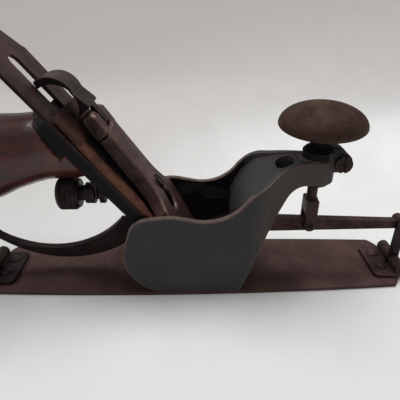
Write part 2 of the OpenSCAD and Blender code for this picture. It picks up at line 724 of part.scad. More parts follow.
module knob() {
    color([0.38, 0.25, 0.17]) translate([screw_x, 0, 0]) difference() {
        union() {
            rotate_extrude($fn = 96) polygon(concat([[0, knob_z + knob_rise]], [for (p = knob_dome()) if (p[0] > 0.1) p],
                knob_under(), [[neck_r + 2.4, knob_z - knob_drop - 1], [neck_r, knob_z - knob_drop - 3],
                [0, knob_z - knob_drop - 3]]));
            translate([0, 0, arm_top_z]) cylinder(h = knob_z - arm_top_z - 2, r = neck_r);
            translate([0, 0, boss_z0 - 3]) cylinder(h = collar_top - boss_z0 + 3.4, r = stem_r);
            translate([0, 0, collar_top + 0.15]) cylinder(h = 1.1, r = stem_r + 1.1);
        }
        translate([0, 0, boss_z0 - 10]) cylinder(h = knob_z + knob_rise - 8.5 - boss_z0 + 10, r = rod_r + run);
        translate([0, 0, boss_z0 - 1.9]) difference() {
            cylinder(h = 1.7, r = stem_r + 1);
            translate([0, 0, -1]) cylinder(h = 4, r = stem_r - 0.9);
        }
    }
}

module stem_ring() {
    color([0.35, 0.30, 0.28]) translate([screw_x, 0, boss_z0 - 1.8]) difference() {
        cylinder(h = 1.5, r = stem_r + 1.6);
        translate([0, 0, -1]) cylinder(h = 4, r = stem_r - 0.8);
    }
}

module clamp_screw() {
    color([0.33, 0.22, 0.19]) difference() {
        union() {
            bar_y(clamp_x, clamp_z, clamp_head_r, -ear_half_w - clamp_head_t, -ear_half_w);
            bar_y(clamp_x, clamp_z, clamp_shank_r, -ear_half_w - 1, ear_half_w + 1.2);
        }
        block([clamp_x - 0.8, -ear_half_w - 5, clamp_z - 8], [clamp_x + 0.8, -ear_half_w - clamp_head_t + 1.3, clamp_z + 8]);
    }
}

module cutter() {
    tip = cutter_t / tan(bed_angle) - 0.5;
    color([0.33, 0.24, 0.22]) on_bed() difference() {
        across(-cutter_w / 2, cutter_w / 2) polygon([[tip, cutter_t], [tip - cutter_t / tan(grind), 0],
            [-cutter_l, 0], [-cutter_l, cutter_t]]);
        translate([0, 0, -5]) linear_extrude(20) slot2d(-slot_top + slot_w / 2, -60, slot_w);
        translate([-60, 0, -5]) cylinder(h = 20, r = 11);
        for (sy = [0, 1]) mirror([0, sy, 0]) translate([0, 0, -5]) linear_extrude(20)
            polygon([[-cutter_l - 1, cutter_w / 2 - 9], [-cutter_l + 3, cutter_w / 2 - 8], [-cutter_l + 13,
                cutter_w / 2 - 2], [-cutter_l + 16, cutter_w / 2 + 1], [-cutter_l - 1, cutter_w / 2 + 1]]);
    }
}

module cap_iron() {
    t = cap_iron_t;
    n0 = cutter_t;
    hw = cutter_w / 2 - 0.2;
    color([0.42, 0.23, 0.16]) on_bed() difference() {
        across(-hw, hw) polygon([[-0.9, n0 + 0.03], [-2.4, n0 + 0.03], [-10, n0 + hump_h - t], [-17, n0 + 0.5],
            [-21, n0 + 0.03], [-98, n0 + 0.03], [-120, n0 + cap_iron_lift * 0.7], [-cap_iron_top, n0 + cap_iron_lift],
            [-cap_iron_top, n0 + cap_iron_lift + t], [-120, n0 + cap_iron_lift * 0.7 + t], [-98, n0 + t],
            [-23, n0 + t], [-18, n0 + 0.45 + t], [-13, n0 + hump_h - 0.25], [-10, n0 + hump_h],
            [-6.5, n0 + hump_h - 0.5], [-2.6, n0 + 1.9]]);
        translate([0, 0, -5]) linear_extrude(30) slot2d(-cap_screw_s - 4, -cap_screw_s + 4, 6.4);
        translate([0, 0, -5]) linear_extrude(30) translate([-fork_s - 2.2, -3.1]) square([4.4, 6.2]);
        translate([-108, 0, -5]) cylinder(h = 30, r = 2.8);
    }
}

module cap_iron_screw() {
    color([0.35, 0.30, 0.27]) on_bed() difference() {
        union() {
            translate([-108, 0, -3.2]) cylinder(h = 3.15, r = 7);
            translate([-108, 0, -0.2]) cylinder(h = cap_flat_n + 0.8, r = 2.8);
        }
        block([-120, -0.7, -5], [-96, 0.7, -2.2]);
    }
}

// Height of the lever cap's crown above the bed at a distance s up the slope: two slopes, blended.
function crown_up(s) = cap_high_n - 0.056 * (cap_top - s);
function crown_low(s) = cap_lip_n + 0.19 * (s - cap_low);
function crown(s) = (crown_up(s) + crown_low(s) - sqrt(pow(crown_up(s) - crown_low(s), 2) + 0.8)) / 2 + 0.03;

function crown_pts(s0, s1, drop) = [for (s = [s0 : 6 : s1]) [-s, crown(s) - drop]];

// Plan of the lever cap, drawn inwards by t.
module cap_plan(t) {
    hw = cap_half_w - t;
    lw = cap_lip_half_w - t;
    difference() {
        union() {
            translate([-cap_top + t + 4, -hw - 1]) square([10, 2 * hw + 2]);
            translate([-cap_top + t, -hw + 3]) square([cap_top - 60, 2 * hw - 6]);
            for (sy = [-1, 1]) translate([-cap_top + t + 4, sy * (hw - 3)]) circle(4);
            translate([-cap_top + 12, -hw]) square([cap_top - 80, 2 * hw]);
            translate([-80, -lw]) square([80 - cap_low - t, 2 * lw]);
        }
        for (sy = [-1, 1]) translate([-80, sy * (cap_half_w + 28)]) circle(28 + t);
    }
}

module lever_cap() {
    n_screw = crown(cap_screw_s);
    color([0.33, 0.22, 0.20]) on_bed() difference() {
        intersection() {
            across(-wide, wide) polygon(concat([[-26, cap_flat_n + 0.45], [-cap_low, cap_flat_n + 1],
                [-cap_low, crown(cap_low)]], crown_pts(cap_low + 2, cap_top - 6, 0), [[-cap_top + 3, cap_high_n - 0.1],
                [-cap_top, cap_high_n - 1.4], [-cap_top, 9.2], [-82, cap_flat_n + 1], [-32, cap_flat_n + 0.35]]));
            linear_extrude(wide) cap_plan(0);
        }
        // hollow underside
        intersection() {
            across(-wide, wide) polygon(concat([[-cap_low - 9, 0], [-cap_low - 9, crown(cap_low + 9) - cap_wall + 0.4]],
                crown_pts(cap_low + 15, cap_top - 16, cap_wall), [[-cap_top + 12, crown(cap_top - 12) - cap_wall],
                [-cap_top + 12, 0]]));
            translate([0, 0, -1]) linear_extrude(wide) cap_plan(cap_wall);
        }
        // keyhole and the seat of the screw's head
        translate([0, 0, 3]) linear_extrude(30) slot2d(-cap_screw_s, -52, 5.2);
        translate([-keyhole_s, 0, 3]) cylinder(h = 30, r = keyhole_r);
        translate([-cap_screw_s, 0, n_screw - 0.7]) cylinder(h = 30, r = cap_screw_r + 0.5);
        // slot for the cam lever, bore of its pin and hole of the spring's rivet
        translate([-cap_top - 5, -3.8, 3]) cube([17, 7.6, 30]);
        bar_y(-cam_s, cam_n, 1.8, -wide, wide);
        translate([-79, 0, 3]) cylinder(h = crown(79) - cap_wall - 2.2, r = 1.5);
    }
}

module lever_cap_screw() {
    n1 = crown(cap_screw_s);
    color([0.36, 0.26, 0.22]) on_bed() difference() {
        union() {
            translate([-cap_screw_s, 0, n1 - 0.7]) cylinder(h = 2.4, r = cap_screw_r);
            translate([-cap_screw_s, 0, -bed_t + 0.6]) cylinder(h = n1 + bed_t - 0.7, r = 2.2);
        }
        translate([-cap_screw_s - 6, -0.5, n1 + 0.7]) cube([12, 1, 4]);
    }
}

module cap_spring() {
    n84 = crown(84) - cap_wall;
    n75 = crown(75) - cap_wall;
    color([0.36, 0.30, 0.27]) on_bed() difference() {
        across(-4.6, 4.6) polygon([[-121, 6.25], [-112, 5.85], [-98, 7.6], [-84, n84], [-75, n75], [-75, n75 - 0.8],
            [-84, n84 - 0.8], [-98, 6.8], [-112, 5.05], [-121, 5.45]]);
        translate([-79, 0, 0]) cylinder(h = 30, r = 1.6);
    }
}

module spring_rivet() {
    n1 = crown(79) - cap_wall;
    color([0.36, 0.30, 0.27]) on_bed() {
        translate([-79, 0, n1 - 1.2]) cylinder(h = 2, r = 1.5);
        translate([-79, 0, n1 - 1.9]) cylinder(h = 0.95, r = 2.4);
    }
}

function cam_high() = cap_high_n + 0.3;

// Outline of the thumb piece seen from the side, drawn inwards by t.
module thumb_2d(t) {
    e = -cam_s - cam_reach + 12;
    translate([e, cam_high() - 12.9]) circle(12 - t);
    polygon([[-cam_s + 2.2, cam_high() - 0.7 - t], [-cam_s - 10, cam_high() - t], [e + 5, cam_high() - 1.5 - t],
        [e, cam_high() - 6], [e, 0], [-cam_s + 2.2, 0]]);
}

// Full-width thumb piece seen from the side: domed on top, hollow below, with its front face beyond the cap.
module thumb_side_2d() {
    difference() {
        thumb_2d(0);
        translate([-cam_s - thumb_hollow_r - 7.1, 3.2]) circle(thumb_hollow_r);
        translate([-wide, 0]) square([wide, 3.6]);
        translate([-cam_s - 8.5, 0]) square([60, 60]);
    }
}

module thumb_strip_2d() {
    difference() {
        thumb_2d(0);
        thumb_2d(2.3);
        translate([-wide, 0]) square([wide, 3.6]);
    }
}

// Cam lever: lobe round the pin, narrow neck and a wide thumb piece that curves down to the iron.
module cam_lever() {
    lobe = cam_n - 6.25;
    tip = -cam_s - cam_reach;
    color([0.32, 0.22, 0.20]) on_bed() difference() {
        union() {
            across(-3.4, 3.4) {
                translate([-cam_s, cam_n]) circle(lobe - 2.1);
                intersection() {
                    union() {
                        translate([-cam_s, cam_n]) circle(lobe);
                        translate([-cam_s - 3.4, cam_n - 2.7]) circle(3.3);
                    }
                    translate([-cam_s - 12, 5]) square([13, cam_high() - 5.4]);
                }
                intersection() {
                    thumb_strip_2d();
                    translate([-cam_s - 16, 0]) square([30, 40]);
                }
            }
            intersection() {
                across(-20, 20) thumb_side_2d();
                linear_extrude(60) polygon([[-cam_s - 8.4, 0.8 - thumb_half_w], [-cam_s - 11, -thumb_half_w],
                    [tip + 4, -thumb_half_w], [tip + 1, 1.2 - thumb_half_w], [tip - 1, 3 - thumb_half_w],
                    [tip - 1, thumb_half_w - 3], [tip + 1, thumb_half_w - 1.2], [tip + 4, thumb_half_w],
                    [-cam_s - 11, thumb_half_w], [-cam_s - 8.4, thumb_half_w - 0.8]]);
            }
        }
        bar_y(-cam_s, cam_n, 1.8 + run, -20, 20);
    }
}

module cam_pin() {
    color([0.40, 0.33, 0.30]) on_bed() bar_y(-cam_s, cam_n, 1.8, -cap_half_w + 0.2, cap_half_w - 0.2);
}

// Depth lever: a tooth in the cap iron's slot and two tines in the nut's groove.
module depth_lever() {
    px = bed_x - fork_s * cos(bed_angle) + fork_n * sin(bed_angle);
    pz = fork_s * sin(bed_angle) + fork_n * cos(bed_angle);
    color([0.35, 0.30, 0.28]) difference() {
        union() {
            on_bed() bar_y(-fork_s, fork_n, 2.9, -2.7, 2.7);
            on_bed() across(-2.7, 2.7) polygon([[-fork_s - 2.4, fork_n], [-fork_s - 1.3, cap_flat_n + 0.2],
                [-fork_s + 1.3, cap_flat_n + 0.2], [-fork_s + 2.4, fork_n]]);
            block([nut_groove_x + 0.5, -2.7, stud_z + 7.2], [px, 2.7, pz]);
            across(-5.9, 5.9) polygon([[nut_groove_x - 1.9, stud_z + 9], [nut_groove_x - 1.9, stud_z + 7.4],
                [nut_groove_x - 0.45, stud_z + 6.6], [nut_groove_x - 0.45, stud_z - 1],
                [nut_groove_x + 0.45, stud_z - 1], [nut_groove_x + 0.45, stud_z + 6.6],
                [nut_groove_x + 1.9, stud_z + 7.4], [nut_groove_x + 1.9, stud_z + 9]]);
        }
        on_bed() bar_y(-fork_s, fork_n, 1.5 + run, -20, 20);
        block([nut_groove_x - 5, -4.3, stud_z - 10], [nut_groove_x + 5, 4.3, stud_z + 7.2]);
    }
}

module depth_lever_pin() {
    color([0.40, 0.36, 0.33]) on_bed() bar_y(-fork_s, fork_n, 1.5, -6, 6);
}

module depth_nut() {
    color([0.22, 0.19, 0.16]) translate([0, 0, stud_z]) rotate([0, 90, 0]) difference() {
        rotate_extrude($fn = 96) polygon(concat([[0, nut_x0], [wheel_r - 2, nut_x0], [wheel_r - 0.6, nut_x0 + 1]],
            [for (k = [0 : 3], p = [[wheel_r, 1.2], [wheel_r, 2.6], [wheel_r - 0.7, 3.3]])
                [p[0], nut_x0 + 0.4 + p[1] + k * 2.6]],
            [[wheel_r - 1.4, nut_wheel_x1], [4.5, nut_wheel_x1 + 0.4], [4.5, nut_wheel_x1 + 3],
            [flange_r, nut_wheel_x1 + 3.2], [flange_r, nut_groove_x - groove_w], [3.9, nut_groove_x - groove_w],
            [3.9, nut_groove_x + groove_w], [flange_r, nut_groove_x + groove_w], [flange_r, nut_x1], [0, nut_x1]]));
        translate([0, 0, nut_x0 - 1]) cylinder(h = 60, r = stud_r + run);
    }
}

module depth_stud() {
    color([0.40, 0.36, 0.33]) translate([nut_x0 - 1.5, 0, stud_z]) rotate([0, 90, 0])
        cylinder(h = stud_x1 + 2 - nut_x0, r = stud_r);
}

// Frame of the handle: +Z runs along its axis, away from the bed.
module handle_axis() {
    hx = bed_x - handle_s * cos(bed_angle) - bed_t * sin(bed_angle);
    hz = handle_s * sin(bed_angle) - bed_t * cos(bed_angle);
    translate([hx, 0, hz]) rotate([0, -90 - handle_droop, 0]) children();
}

// Pad on the bed's back under the upper part of the handle's foot.
module handle_boss() {
    intersection() {
        handle_axis() translate([0, 0, -40]) cylinder(h = 80, r = handle_foot_r - 0.6);
        on_bed() block([-bed_top, -wide, -bed_t - handle_boss_t], [-handle_s + 1, wide, -bed_t + 1]);
    }
}

function handle_profile() = [[0, -24], [handle_foot_r, -24], [handle_foot_r, 2], [handle_foot_r - 0.6, 6],
    [handle_waist_r + 0.5, 12], [handle_waist_r, 18], [handle_waist_r + 0.5, 25], [handle_bulb_r - 4.2, 36],
    [handle_bulb_r - 1.4, 46], [handle_bulb_r - 0.2, 54], [handle_bulb_r, 59], [handle_bulb_r - 0.8, handle_l - 13],
    [handle_bulb_r - 3.2, handle_l - 8], [handle_bulb_r - 7.4, handle_l - 4], [handle_bulb_r - 13, handle_l - 1.3],
    [8, handle_l - 0.4], [0, handle_l]];

module handle() {
    color([0.36, 0.14, 0.10]) difference() {
        handle_axis() rotate_extrude($fn = 96) polygon(handle_profile());
        on_bed() block([-wide, -wide, -bed_t], [wide, wide, wide]);
        on_bed() block([-wide, -wide, -bed_t - handle_boss_t], [-handle_s + 1, wide, 0]);
        on_bed() block([-fork_s - 9, -wide, -wide], [wide, wide, wide]);
        handle_axis() translate([0, 0, -20]) cylinder(h = handle_l + 40, r = 2.9);
        handle_axis() translate([0, 0, handle_l - 5]) cylinder(h = 30, r = 6.4);
    }
}

module handle_bolt() {
    color([0.45, 0.40, 0.35]) handle_axis() translate([0, 0, -bolt_in]) cylinder(h = handle_l + bolt_in - 1.2, r = 2.6);
}

module handle_nut() {
    color([0.55, 0.42, 0.22]) handle_axis() difference() {
        translate([0, 0, handle_l - 5]) cylinder(h = 4.4, r = 6.2);
        translate([0, 0, handle_l - 12]) cylinder(h = 10.8, r = 2.6);
        translate([-8, -0.7, handle_l - 1.6]) cube([16, 1.4, 3]);
    }
}

body();
sole();
sole_screws();
toe_bracket();
toe_rivets();
toe_hinge_pin();
heel_bracket();
heel_rivets();
heel_hinge_pin();
front_lever();
front_shaft();
front_sector();
rear_lever();
rear_shaft();
rear_sector();
front_link();
front_link_pin();
rear_link();
rear_link_pin();
adjusting_rod();
fork_pin();
knob();
stem_ring();
clamp_screw();
cutter();
cap_iron();
cap_iron_screw();
lever_cap();
lever_cap_screw();
cap_spring();
spring_rivet();
cam_lever();
cam_pin();
depth_lever();
depth_lever_pin();
depth_nut();
depth_stud();
handle();
handle_bolt();
handle_nut();
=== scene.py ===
"""Adjustable compass plane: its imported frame, dressed for rendering.

The frame gives every solid its place and its joints. This script rounds the edges of the solids, turns the
knob finely, winds the rod's thread, sets the rivet heads and the nut's knurling, bends the sole in two
halves and gives every surface its aged finish.
"""

import json
import logging
import math
from collections.abc import Callable, Sequence
from dataclasses import dataclass
from enum import Enum

import bmesh
import bpy
from mathutils import Matrix, Vector
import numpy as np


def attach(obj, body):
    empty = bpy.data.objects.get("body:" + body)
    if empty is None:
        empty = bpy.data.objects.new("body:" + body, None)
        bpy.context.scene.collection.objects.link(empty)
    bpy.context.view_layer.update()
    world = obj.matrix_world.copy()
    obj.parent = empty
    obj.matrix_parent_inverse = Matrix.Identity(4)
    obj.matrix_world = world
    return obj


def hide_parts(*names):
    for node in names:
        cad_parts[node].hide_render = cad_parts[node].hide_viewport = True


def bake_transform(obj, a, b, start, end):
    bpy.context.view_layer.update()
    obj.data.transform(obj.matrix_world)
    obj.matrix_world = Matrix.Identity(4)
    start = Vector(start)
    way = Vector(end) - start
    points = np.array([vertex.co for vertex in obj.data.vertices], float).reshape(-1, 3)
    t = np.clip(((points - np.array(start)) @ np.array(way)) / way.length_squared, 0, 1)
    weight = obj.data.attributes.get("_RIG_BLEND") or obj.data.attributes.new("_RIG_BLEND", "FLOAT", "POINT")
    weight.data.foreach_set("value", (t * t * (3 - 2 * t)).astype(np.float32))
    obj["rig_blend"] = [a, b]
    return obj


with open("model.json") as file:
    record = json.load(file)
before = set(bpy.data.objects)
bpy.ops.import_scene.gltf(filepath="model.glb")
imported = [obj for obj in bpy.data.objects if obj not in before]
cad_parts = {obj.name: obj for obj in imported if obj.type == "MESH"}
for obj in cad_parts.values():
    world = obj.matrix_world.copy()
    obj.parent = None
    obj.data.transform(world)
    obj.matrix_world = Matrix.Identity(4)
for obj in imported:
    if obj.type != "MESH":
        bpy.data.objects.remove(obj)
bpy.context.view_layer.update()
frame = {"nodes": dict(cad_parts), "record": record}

LOG = logging.getLogger("compass_plane")
MM = 0.001


class Body(Enum):
    """The bodies of the frame that this script names. The other pieces follow their CAD node's body."""

    CASTING = "casting"
    ROD = "rod_part"
    TOE = "toe_part"
    HEEL = "heel_part"
    NUT = "nut_part"


def linear(rgb: Sequence[float]) -> tuple[float, float, float, float]:
    """Turn a screen colour into the linear colour that shaders use.

    Args:
        rgb: Red, green and blue from 0 to 255.

    Returns:
        The linear colour with full alpha.
    """
    out = []
    for c in rgb:
        c /= 255.0
        out.append(c / 12.92 if c <= 0.04045 else ((c + 0.055) / 1.055) ** 2.4)
    return (out[0], out[1], out[2], 1.0)


class NodeTree:
    """A tree of nodes, with short calls to add and join them."""

    tree: bpy.types.NodeTree

    def node(self, kind: str, **settings: object) -> bpy.types.Node:
        """Add a node and set its properties.

        Args:
            kind: Blender's name of the node type.
            settings: Properties of the node.

        Returns:
            The new node.
        """
        made = self.tree.nodes.new(kind)
        for key, value in settings.items():
            setattr(made, key, value)
        return made

    def link(self, source: bpy.types.NodeSocket, target: bpy.types.NodeSocket) -> None:
        """Join two sockets."""
        self.tree.links.new(source, target)


class Graph(NodeTree):
    """One material's node tree, with calls for the patterns used here."""

    def __init__(self, name: str) -> None:
        """Make an empty material with a Principled shader.

        Args:
            name: Name of the material.
        """
        self.material = bpy.data.materials.new(name)
        self.material.use_nodes = True
        self.tree = self.material.node_tree
        self.tree.nodes.clear()
        out = self.node("ShaderNodeOutputMaterial")
        self.shader = self.node("ShaderNodeBsdfPrincipled")
        self.link(self.shader.outputs[0], out.inputs[0])
        self.coords = self.node("ShaderNodeTexCoord").outputs["Object"]

    def put(self, socket: bpy.types.NodeSocket, value: object) -> None:
        """Link a socket, or write a plain value on it.

        Args:
            socket: The input to feed.
            value: Another socket, a number or a colour.
        """
        if isinstance(value, bpy.types.NodeSocket):
            self.link(value, socket)
        else:
            socket.default_value = value

    def stretch(self, scale: Sequence[float], turn: Sequence[float] = (0, 0, 0)) -> bpy.types.NodeSocket:
        """Object coordinates scaled and turned.

        Args:
            scale: Scale along each axis.
            turn: Rotation in radians.

        Returns:
            The vector socket.
        """
        made = self.node("ShaderNodeMapping")
        self.link(self.coords, made.inputs["Vector"])
        made.inputs["Scale"].default_value = scale
        made.inputs["Rotation"].default_value = turn
        return made.outputs[0]

    def noise(
        self,
        size_mm: float,
        detail: float = 4.0,
        rough: float = 0.55,
        warp: float = 0.0,
        vector: bpy.types.NodeSocket | None = None,
        shift: float = 0.0,
    ) -> bpy.types.NodeSocket:
        """Noise whose blotches are about size_mm across.

        Args:
            size_mm: Size of the largest blotches.
            detail: Octaves.
            rough: Strength of the small octaves.
            warp: Distortion.
            vector: Coordinates, or the object's own.
            shift: Moves the pattern, so that two calls differ.

        Returns:
            The factor socket.
        """
        made = self.node("ShaderNodeTexNoise", noise_dimensions="4D")
        self.link(vector or self.coords, made.inputs["Vector"])
        made.inputs["W"].default_value = shift
        made.inputs["Scale"].default_value = 1000.0 / size_mm
        made.inputs["Detail"].default_value = detail
        made.inputs["Roughness"].default_value = rough
        made.inputs["Distortion"].default_value = warp
        return made.outputs["Fac"]

    def span(
        self,
        value: bpy.types.NodeSocket,
        low: float,
        high: float,
        a: float = 0.0,
        b: float = 1.0,
    ) -> bpy.types.NodeSocket:
        """Map low..high to a..b and clamp.

        Args:
            value: Input.
            low: Input that gives a.
            high: Input that gives b.
            a: First result.
            b: Second result.

        Returns:
            The mapped socket.
        """
        made = self.node("ShaderNodeMapRange", interpolation_type="SMOOTHSTEP")
        self.link(value, made.inputs[0])
        for i, v in enumerate((low, high, a, b), 1):
            made.inputs[i].default_value = v
        return made.outputs[0]

    def calc(self, kind: str, a: object, b: object = 0.0) -> bpy.types.NodeSocket:
        """A Math node.

        Args:
            kind: Operation.
            a: First number or socket.
            b: Second number or socket.

        Returns:
            The result socket.
        """
        made = self.node("ShaderNodeMath", operation=kind)
        self.put(made.inputs[0], a)
        self.put(made.inputs[1], b)
        return made.outputs[0]

    def blend(self, factor: object, a: object, b: object, kind: str = "MIX") -> bpy.types.NodeSocket:
        """Mix two colours.

        Args:
            factor: Share of b.
            a: First colour or socket.
            b: Second colour or socket.
            kind: Blend type.

        Returns:
            The colour socket.
        """
        made = self.node("ShaderNodeMix", data_type="RGBA", blend_type=kind)
        self.put(made.inputs[0], factor)
        self.put(made.inputs[6], a)
        self.put(made.inputs[7], b)
        return made.outputs[2]

    def attribute(self, name: str) -> bpy.types.NodeSocket:
        """A number stored on the mesh."""
        made = self.node("ShaderNodeAttribute", attribute_name=name, attribute_type="GEOMETRY")
        return made.outputs["Fac"]

    def bump(self, height: bpy.types.NodeSocket, depth_mm: float, strength: float = 1.0) -> None:
        """Feed a height to the shader's normal, on top of any bump before it.

        Args:
            height: Height from 0 to 1.
            depth_mm: What a height of 1 means.
            strength: How much of it shows.
        """
        made = self.node("ShaderNodeBump")
        made.inputs["Strength"].default_value = strength
        made.inputs["Distance"].default_value = depth_mm * MM
        self.link(height, made.inputs["Height"])
        old = self.shader.inputs["Normal"]
        if old.is_linked:
            self.link(old.links[0].from_socket, made.inputs["Normal"])
        self.link(made.outputs[0], old)


@dataclass(frozen=True)
class AgedMetal:
    """Iron or steel under an old patina: blotches, fine specks, rust, rubbed edges, and a near-black tone
    that paints shade in most places and real dirt in a few.

    Colours are screen values from 0 to 255, in every finish.
    """

    name: str
    base: tuple[int, int, int]
    dark: tuple[int, int, int]
    light: tuple[int, int, int]
    rust: tuple[int, int, int]
    edge: tuple[int, int, int]
    rust_share: float = 0.3
    metallic: float = 0.35
    rough: float = 0.5
    blotch_mm: float = 16.0
    pit_mm: float = 0.9
    pit_depth: float = 0.05
    cast_mm: float = 0.0
    cast_depth: float = 0.0
    wear: float = 0.55
    # Near-black tone for painted shade under and beside parts, and for a little real dirt.
    shade_and_dirt: tuple[int, int, int] = (19, 14, 13)

    def build(self) -> bpy.types.Material:
        """Make the material.

        Returns:
            The material.
        """
        g = Graph(self.name)
        broad = g.noise(self.blotch_mm, 5, 0.6, 0.4)
        fine = g.noise(self.blotch_mm / 9, 6, 0.65, 0.2, shift=3.0)
        speck = g.noise(1.1, 3, 0.7, shift=7.0)
        col = g.blend(g.span(broad, 0.36, 0.62), linear(self.dark), linear(self.base))
        col = g.blend(g.span(fine, 0.52, 0.74, 0, 0.7), col, linear(self.light))
        spots = g.calc("MULTIPLY", g.span(g.noise(self.blotch_mm / 2.4, 6, 0.7, 0.8, shift=11.0), 0.5, 0.66),
                       g.span(speck, 0.35, 0.6))
        col = g.blend(g.calc("MULTIPLY", spots, self.rust_share), col, linear(self.rust))
        col = g.blend(g.span(speck, 0.62, 0.8, 0, 0.35), col, linear(self.dark))
        wear = g.calc("MULTIPLY", g.attribute("edge_wear"), g.span(fine, 0.34, 0.62, 0.1, self.wear))
        col = g.blend(wear, col, linear(self.edge))
        # Painted shade: faces that the mesh marks darken towards the near-black tone; on the cap iron's upper
        # end the same mark is its real darker brown.
        shade_and_dirt = g.calc("MULTIPLY", g.attribute("shade_and_dirt_share"), g.span(broad, 0.3, 0.7, 1.0, 0.88))
        col = g.blend(shade_and_dirt, col, linear(self.shade_and_dirt))
        g.link(col, g.shader.inputs["Base Color"])
        shine = g.calc("ADD", g.span(broad, 0.3, 0.7, self.rough + 0.1, self.rough - 0.08),
                       g.span(speck, 0.3, 0.8, -0.04, 0.12))
        shine = g.calc("SUBTRACT", shine, g.calc("MULTIPLY", wear, 0.1))
        shine = g.calc("ADD", shine, g.calc("MULTIPLY", shade_and_dirt, 0.25))
        g.link(shine, g.shader.inputs["Roughness"])
        g.shader.inputs["Metallic"].default_value = self.metallic
        g.shader.inputs["Specular IOR Level"].default_value = 0.2
        if self.cast_depth:
            g.bump(g.noise(self.cast_mm, 3, 0.5, shift=5.0), self.cast_depth, 0.8)
        g.bump(g.noise(self.pit_mm, 4, 0.7, shift=2.0), self.pit_depth, 0.7)
        pits = g.span(g.noise(self.pit_mm * 3.2, 2, 0.5, shift=9.0), 0.62, 0.72)
        g.bump(pits, -self.pit_depth * 1.6, 0.6)
        return g.material


@dataclass(frozen=True)
class Japanning:
    """Thin black enamel over cast iron, dulled, rubbed brown along its edges and thin on the arm's sides."""

    name: str = "black_japanning"
    enamel: tuple[int, int, int] = (57, 56, 58)
    faded: tuple[int, int, int] = (65, 62, 63)
    iron: tuple[int, int, int] = (102, 85, 79)
    thin: tuple[int, int, int] = (82, 71, 63)
    dust: tuple[int, int, int] = (66, 61, 58)
    # Near-black tone of the painted shade in the throat, beside the bed and under the knob.
    shade_and_dirt: tuple[int, int, int] = (14, 12, 13)
    rough: float = 0.46
    thin_from: float = 0.026
    thin_to: float = 0.046

    def build(self) -> bpy.types.Material:
        """Make the material.

        Returns:
            The material.
        """
        g = Graph(self.name)
        broad = g.noise(28.0, 4, 0.5, 0.6)
        fine = g.noise(2.4, 6, 0.65, shift=4.0)
        grain = g.noise(0.7, 2, 0.6, shift=6.0)
        col = g.blend(g.span(broad, 0.42, 0.7), linear(self.enamel), linear(self.faded))
        col = g.blend(g.span(fine, 0.56, 0.72, 0, 0.3), col, linear(self.dust))
        flakes = g.span(g.noise(7.0, 6, 0.75, 1.0, shift=8.0), 0.6, 0.7)
        chips = g.calc("MULTIPLY", flakes, g.span(grain, 0.4, 0.6))
        col = g.blend(g.calc("MULTIPLY", chips, 0.25), col, linear(self.iron))
        place = g.node("ShaderNodeSeparateXYZ")
        g.link(g.coords, place.inputs[0])
        ahead = g.span(place.outputs["X"], self.thin_from, self.thin_to)
        toe = g.calc("MULTIPLY", ahead, g.attribute("bare"))
        col = g.blend(g.calc("MULTIPLY", toe, g.span(fine, 0.3, 0.7, 0.55, 0.95)), col, linear(self.thin))
        wear = g.calc("MULTIPLY", g.attribute("edge_wear"), g.span(fine, 0.34, 0.6, 0.35, 0.9))
        col = g.blend(wear, col, linear(self.iron))
        # Painted shade: marked faces of the casting go near-black.
        col = g.blend(g.calc("MULTIPLY", g.attribute("shade_and_dirt_share"), 0.95), col, linear(self.shade_and_dirt))
        g.link(col, g.shader.inputs["Base Color"])
        g.link(g.span(fine, 0.3, 0.75, self.rough - 0.06, self.rough + 0.16), g.shader.inputs["Roughness"])
        g.shader.inputs["Metallic"].default_value = 0.0
        g.shader.inputs["Specular IOR Level"].default_value = 0.1
        g.bump(g.noise(9.0, 3, 0.5, shift=1.0), 0.12, 0.5)
        g.bump(grain, 0.03, 0.6)
        return g.material


@dataclass(frozen=True)
class VarnishedWood:
    """Reddish hardwood with straight dark grain under a glossy, slightly crazed varnish."""

    name: str = "varnished_rosewood"
    red: tuple[int, int, int] = (74, 28, 22)
    dark: tuple[int, int, int] = (38, 15, 12)
    warm: tuple[int, int, int] = (96, 41, 28)
    scuffed: tuple[int, int, int] = (104, 76, 64)
    grain_tilt: float = 10.0

    def build(self) -> bpy.types.Material:
        """Make the material.

        Returns:
            The material.
        """
        g = Graph(self.name)
        along = g.stretch((0.14, 1.0, 1.0), (0.0, math.radians(self.grain_tilt), 0.0))
        streak = g.noise(5.0, 6, 0.6, 0.8, vector=along)
        vein = g.noise(1.3, 4, 0.7, 0.5, vector=along, shift=3.0)
        pool = g.noise(22.0, 3, 0.5, shift=6.0)
        col = g.blend(g.span(streak, 0.38, 0.66), linear(self.dark), linear(self.red))
        col = g.blend(g.span(pool, 0.45, 0.7, 0, 0.6), col, linear(self.warm))
        col = g.blend(g.span(vein, 0.55, 0.7, 0, 0.7), col, linear(self.dark))
        scuff = g.span(g.noise(3.5, 6, 0.8, shift=12.0), 0.66, 0.74, 0, 0.5)
        col = g.blend(scuff, col, linear(self.scuffed))
        g.link(col, g.shader.inputs["Base Color"])
        g.link(g.span(vein, 0.3, 0.8, 0.28, 0.42), g.shader.inputs["Roughness"])
        g.shader.inputs["Specular IOR Level"].default_value = 0.3
        g.shader.inputs["Coat Weight"].default_value = 0.4
        g.shader.inputs["Coat Roughness"].default_value = 0.16
        g.bump(vein, 0.03, 0.5)
        g.bump(g.noise(7.0, 2, 0.5, shift=8.0), 0.12, 0.3)
        return g.material


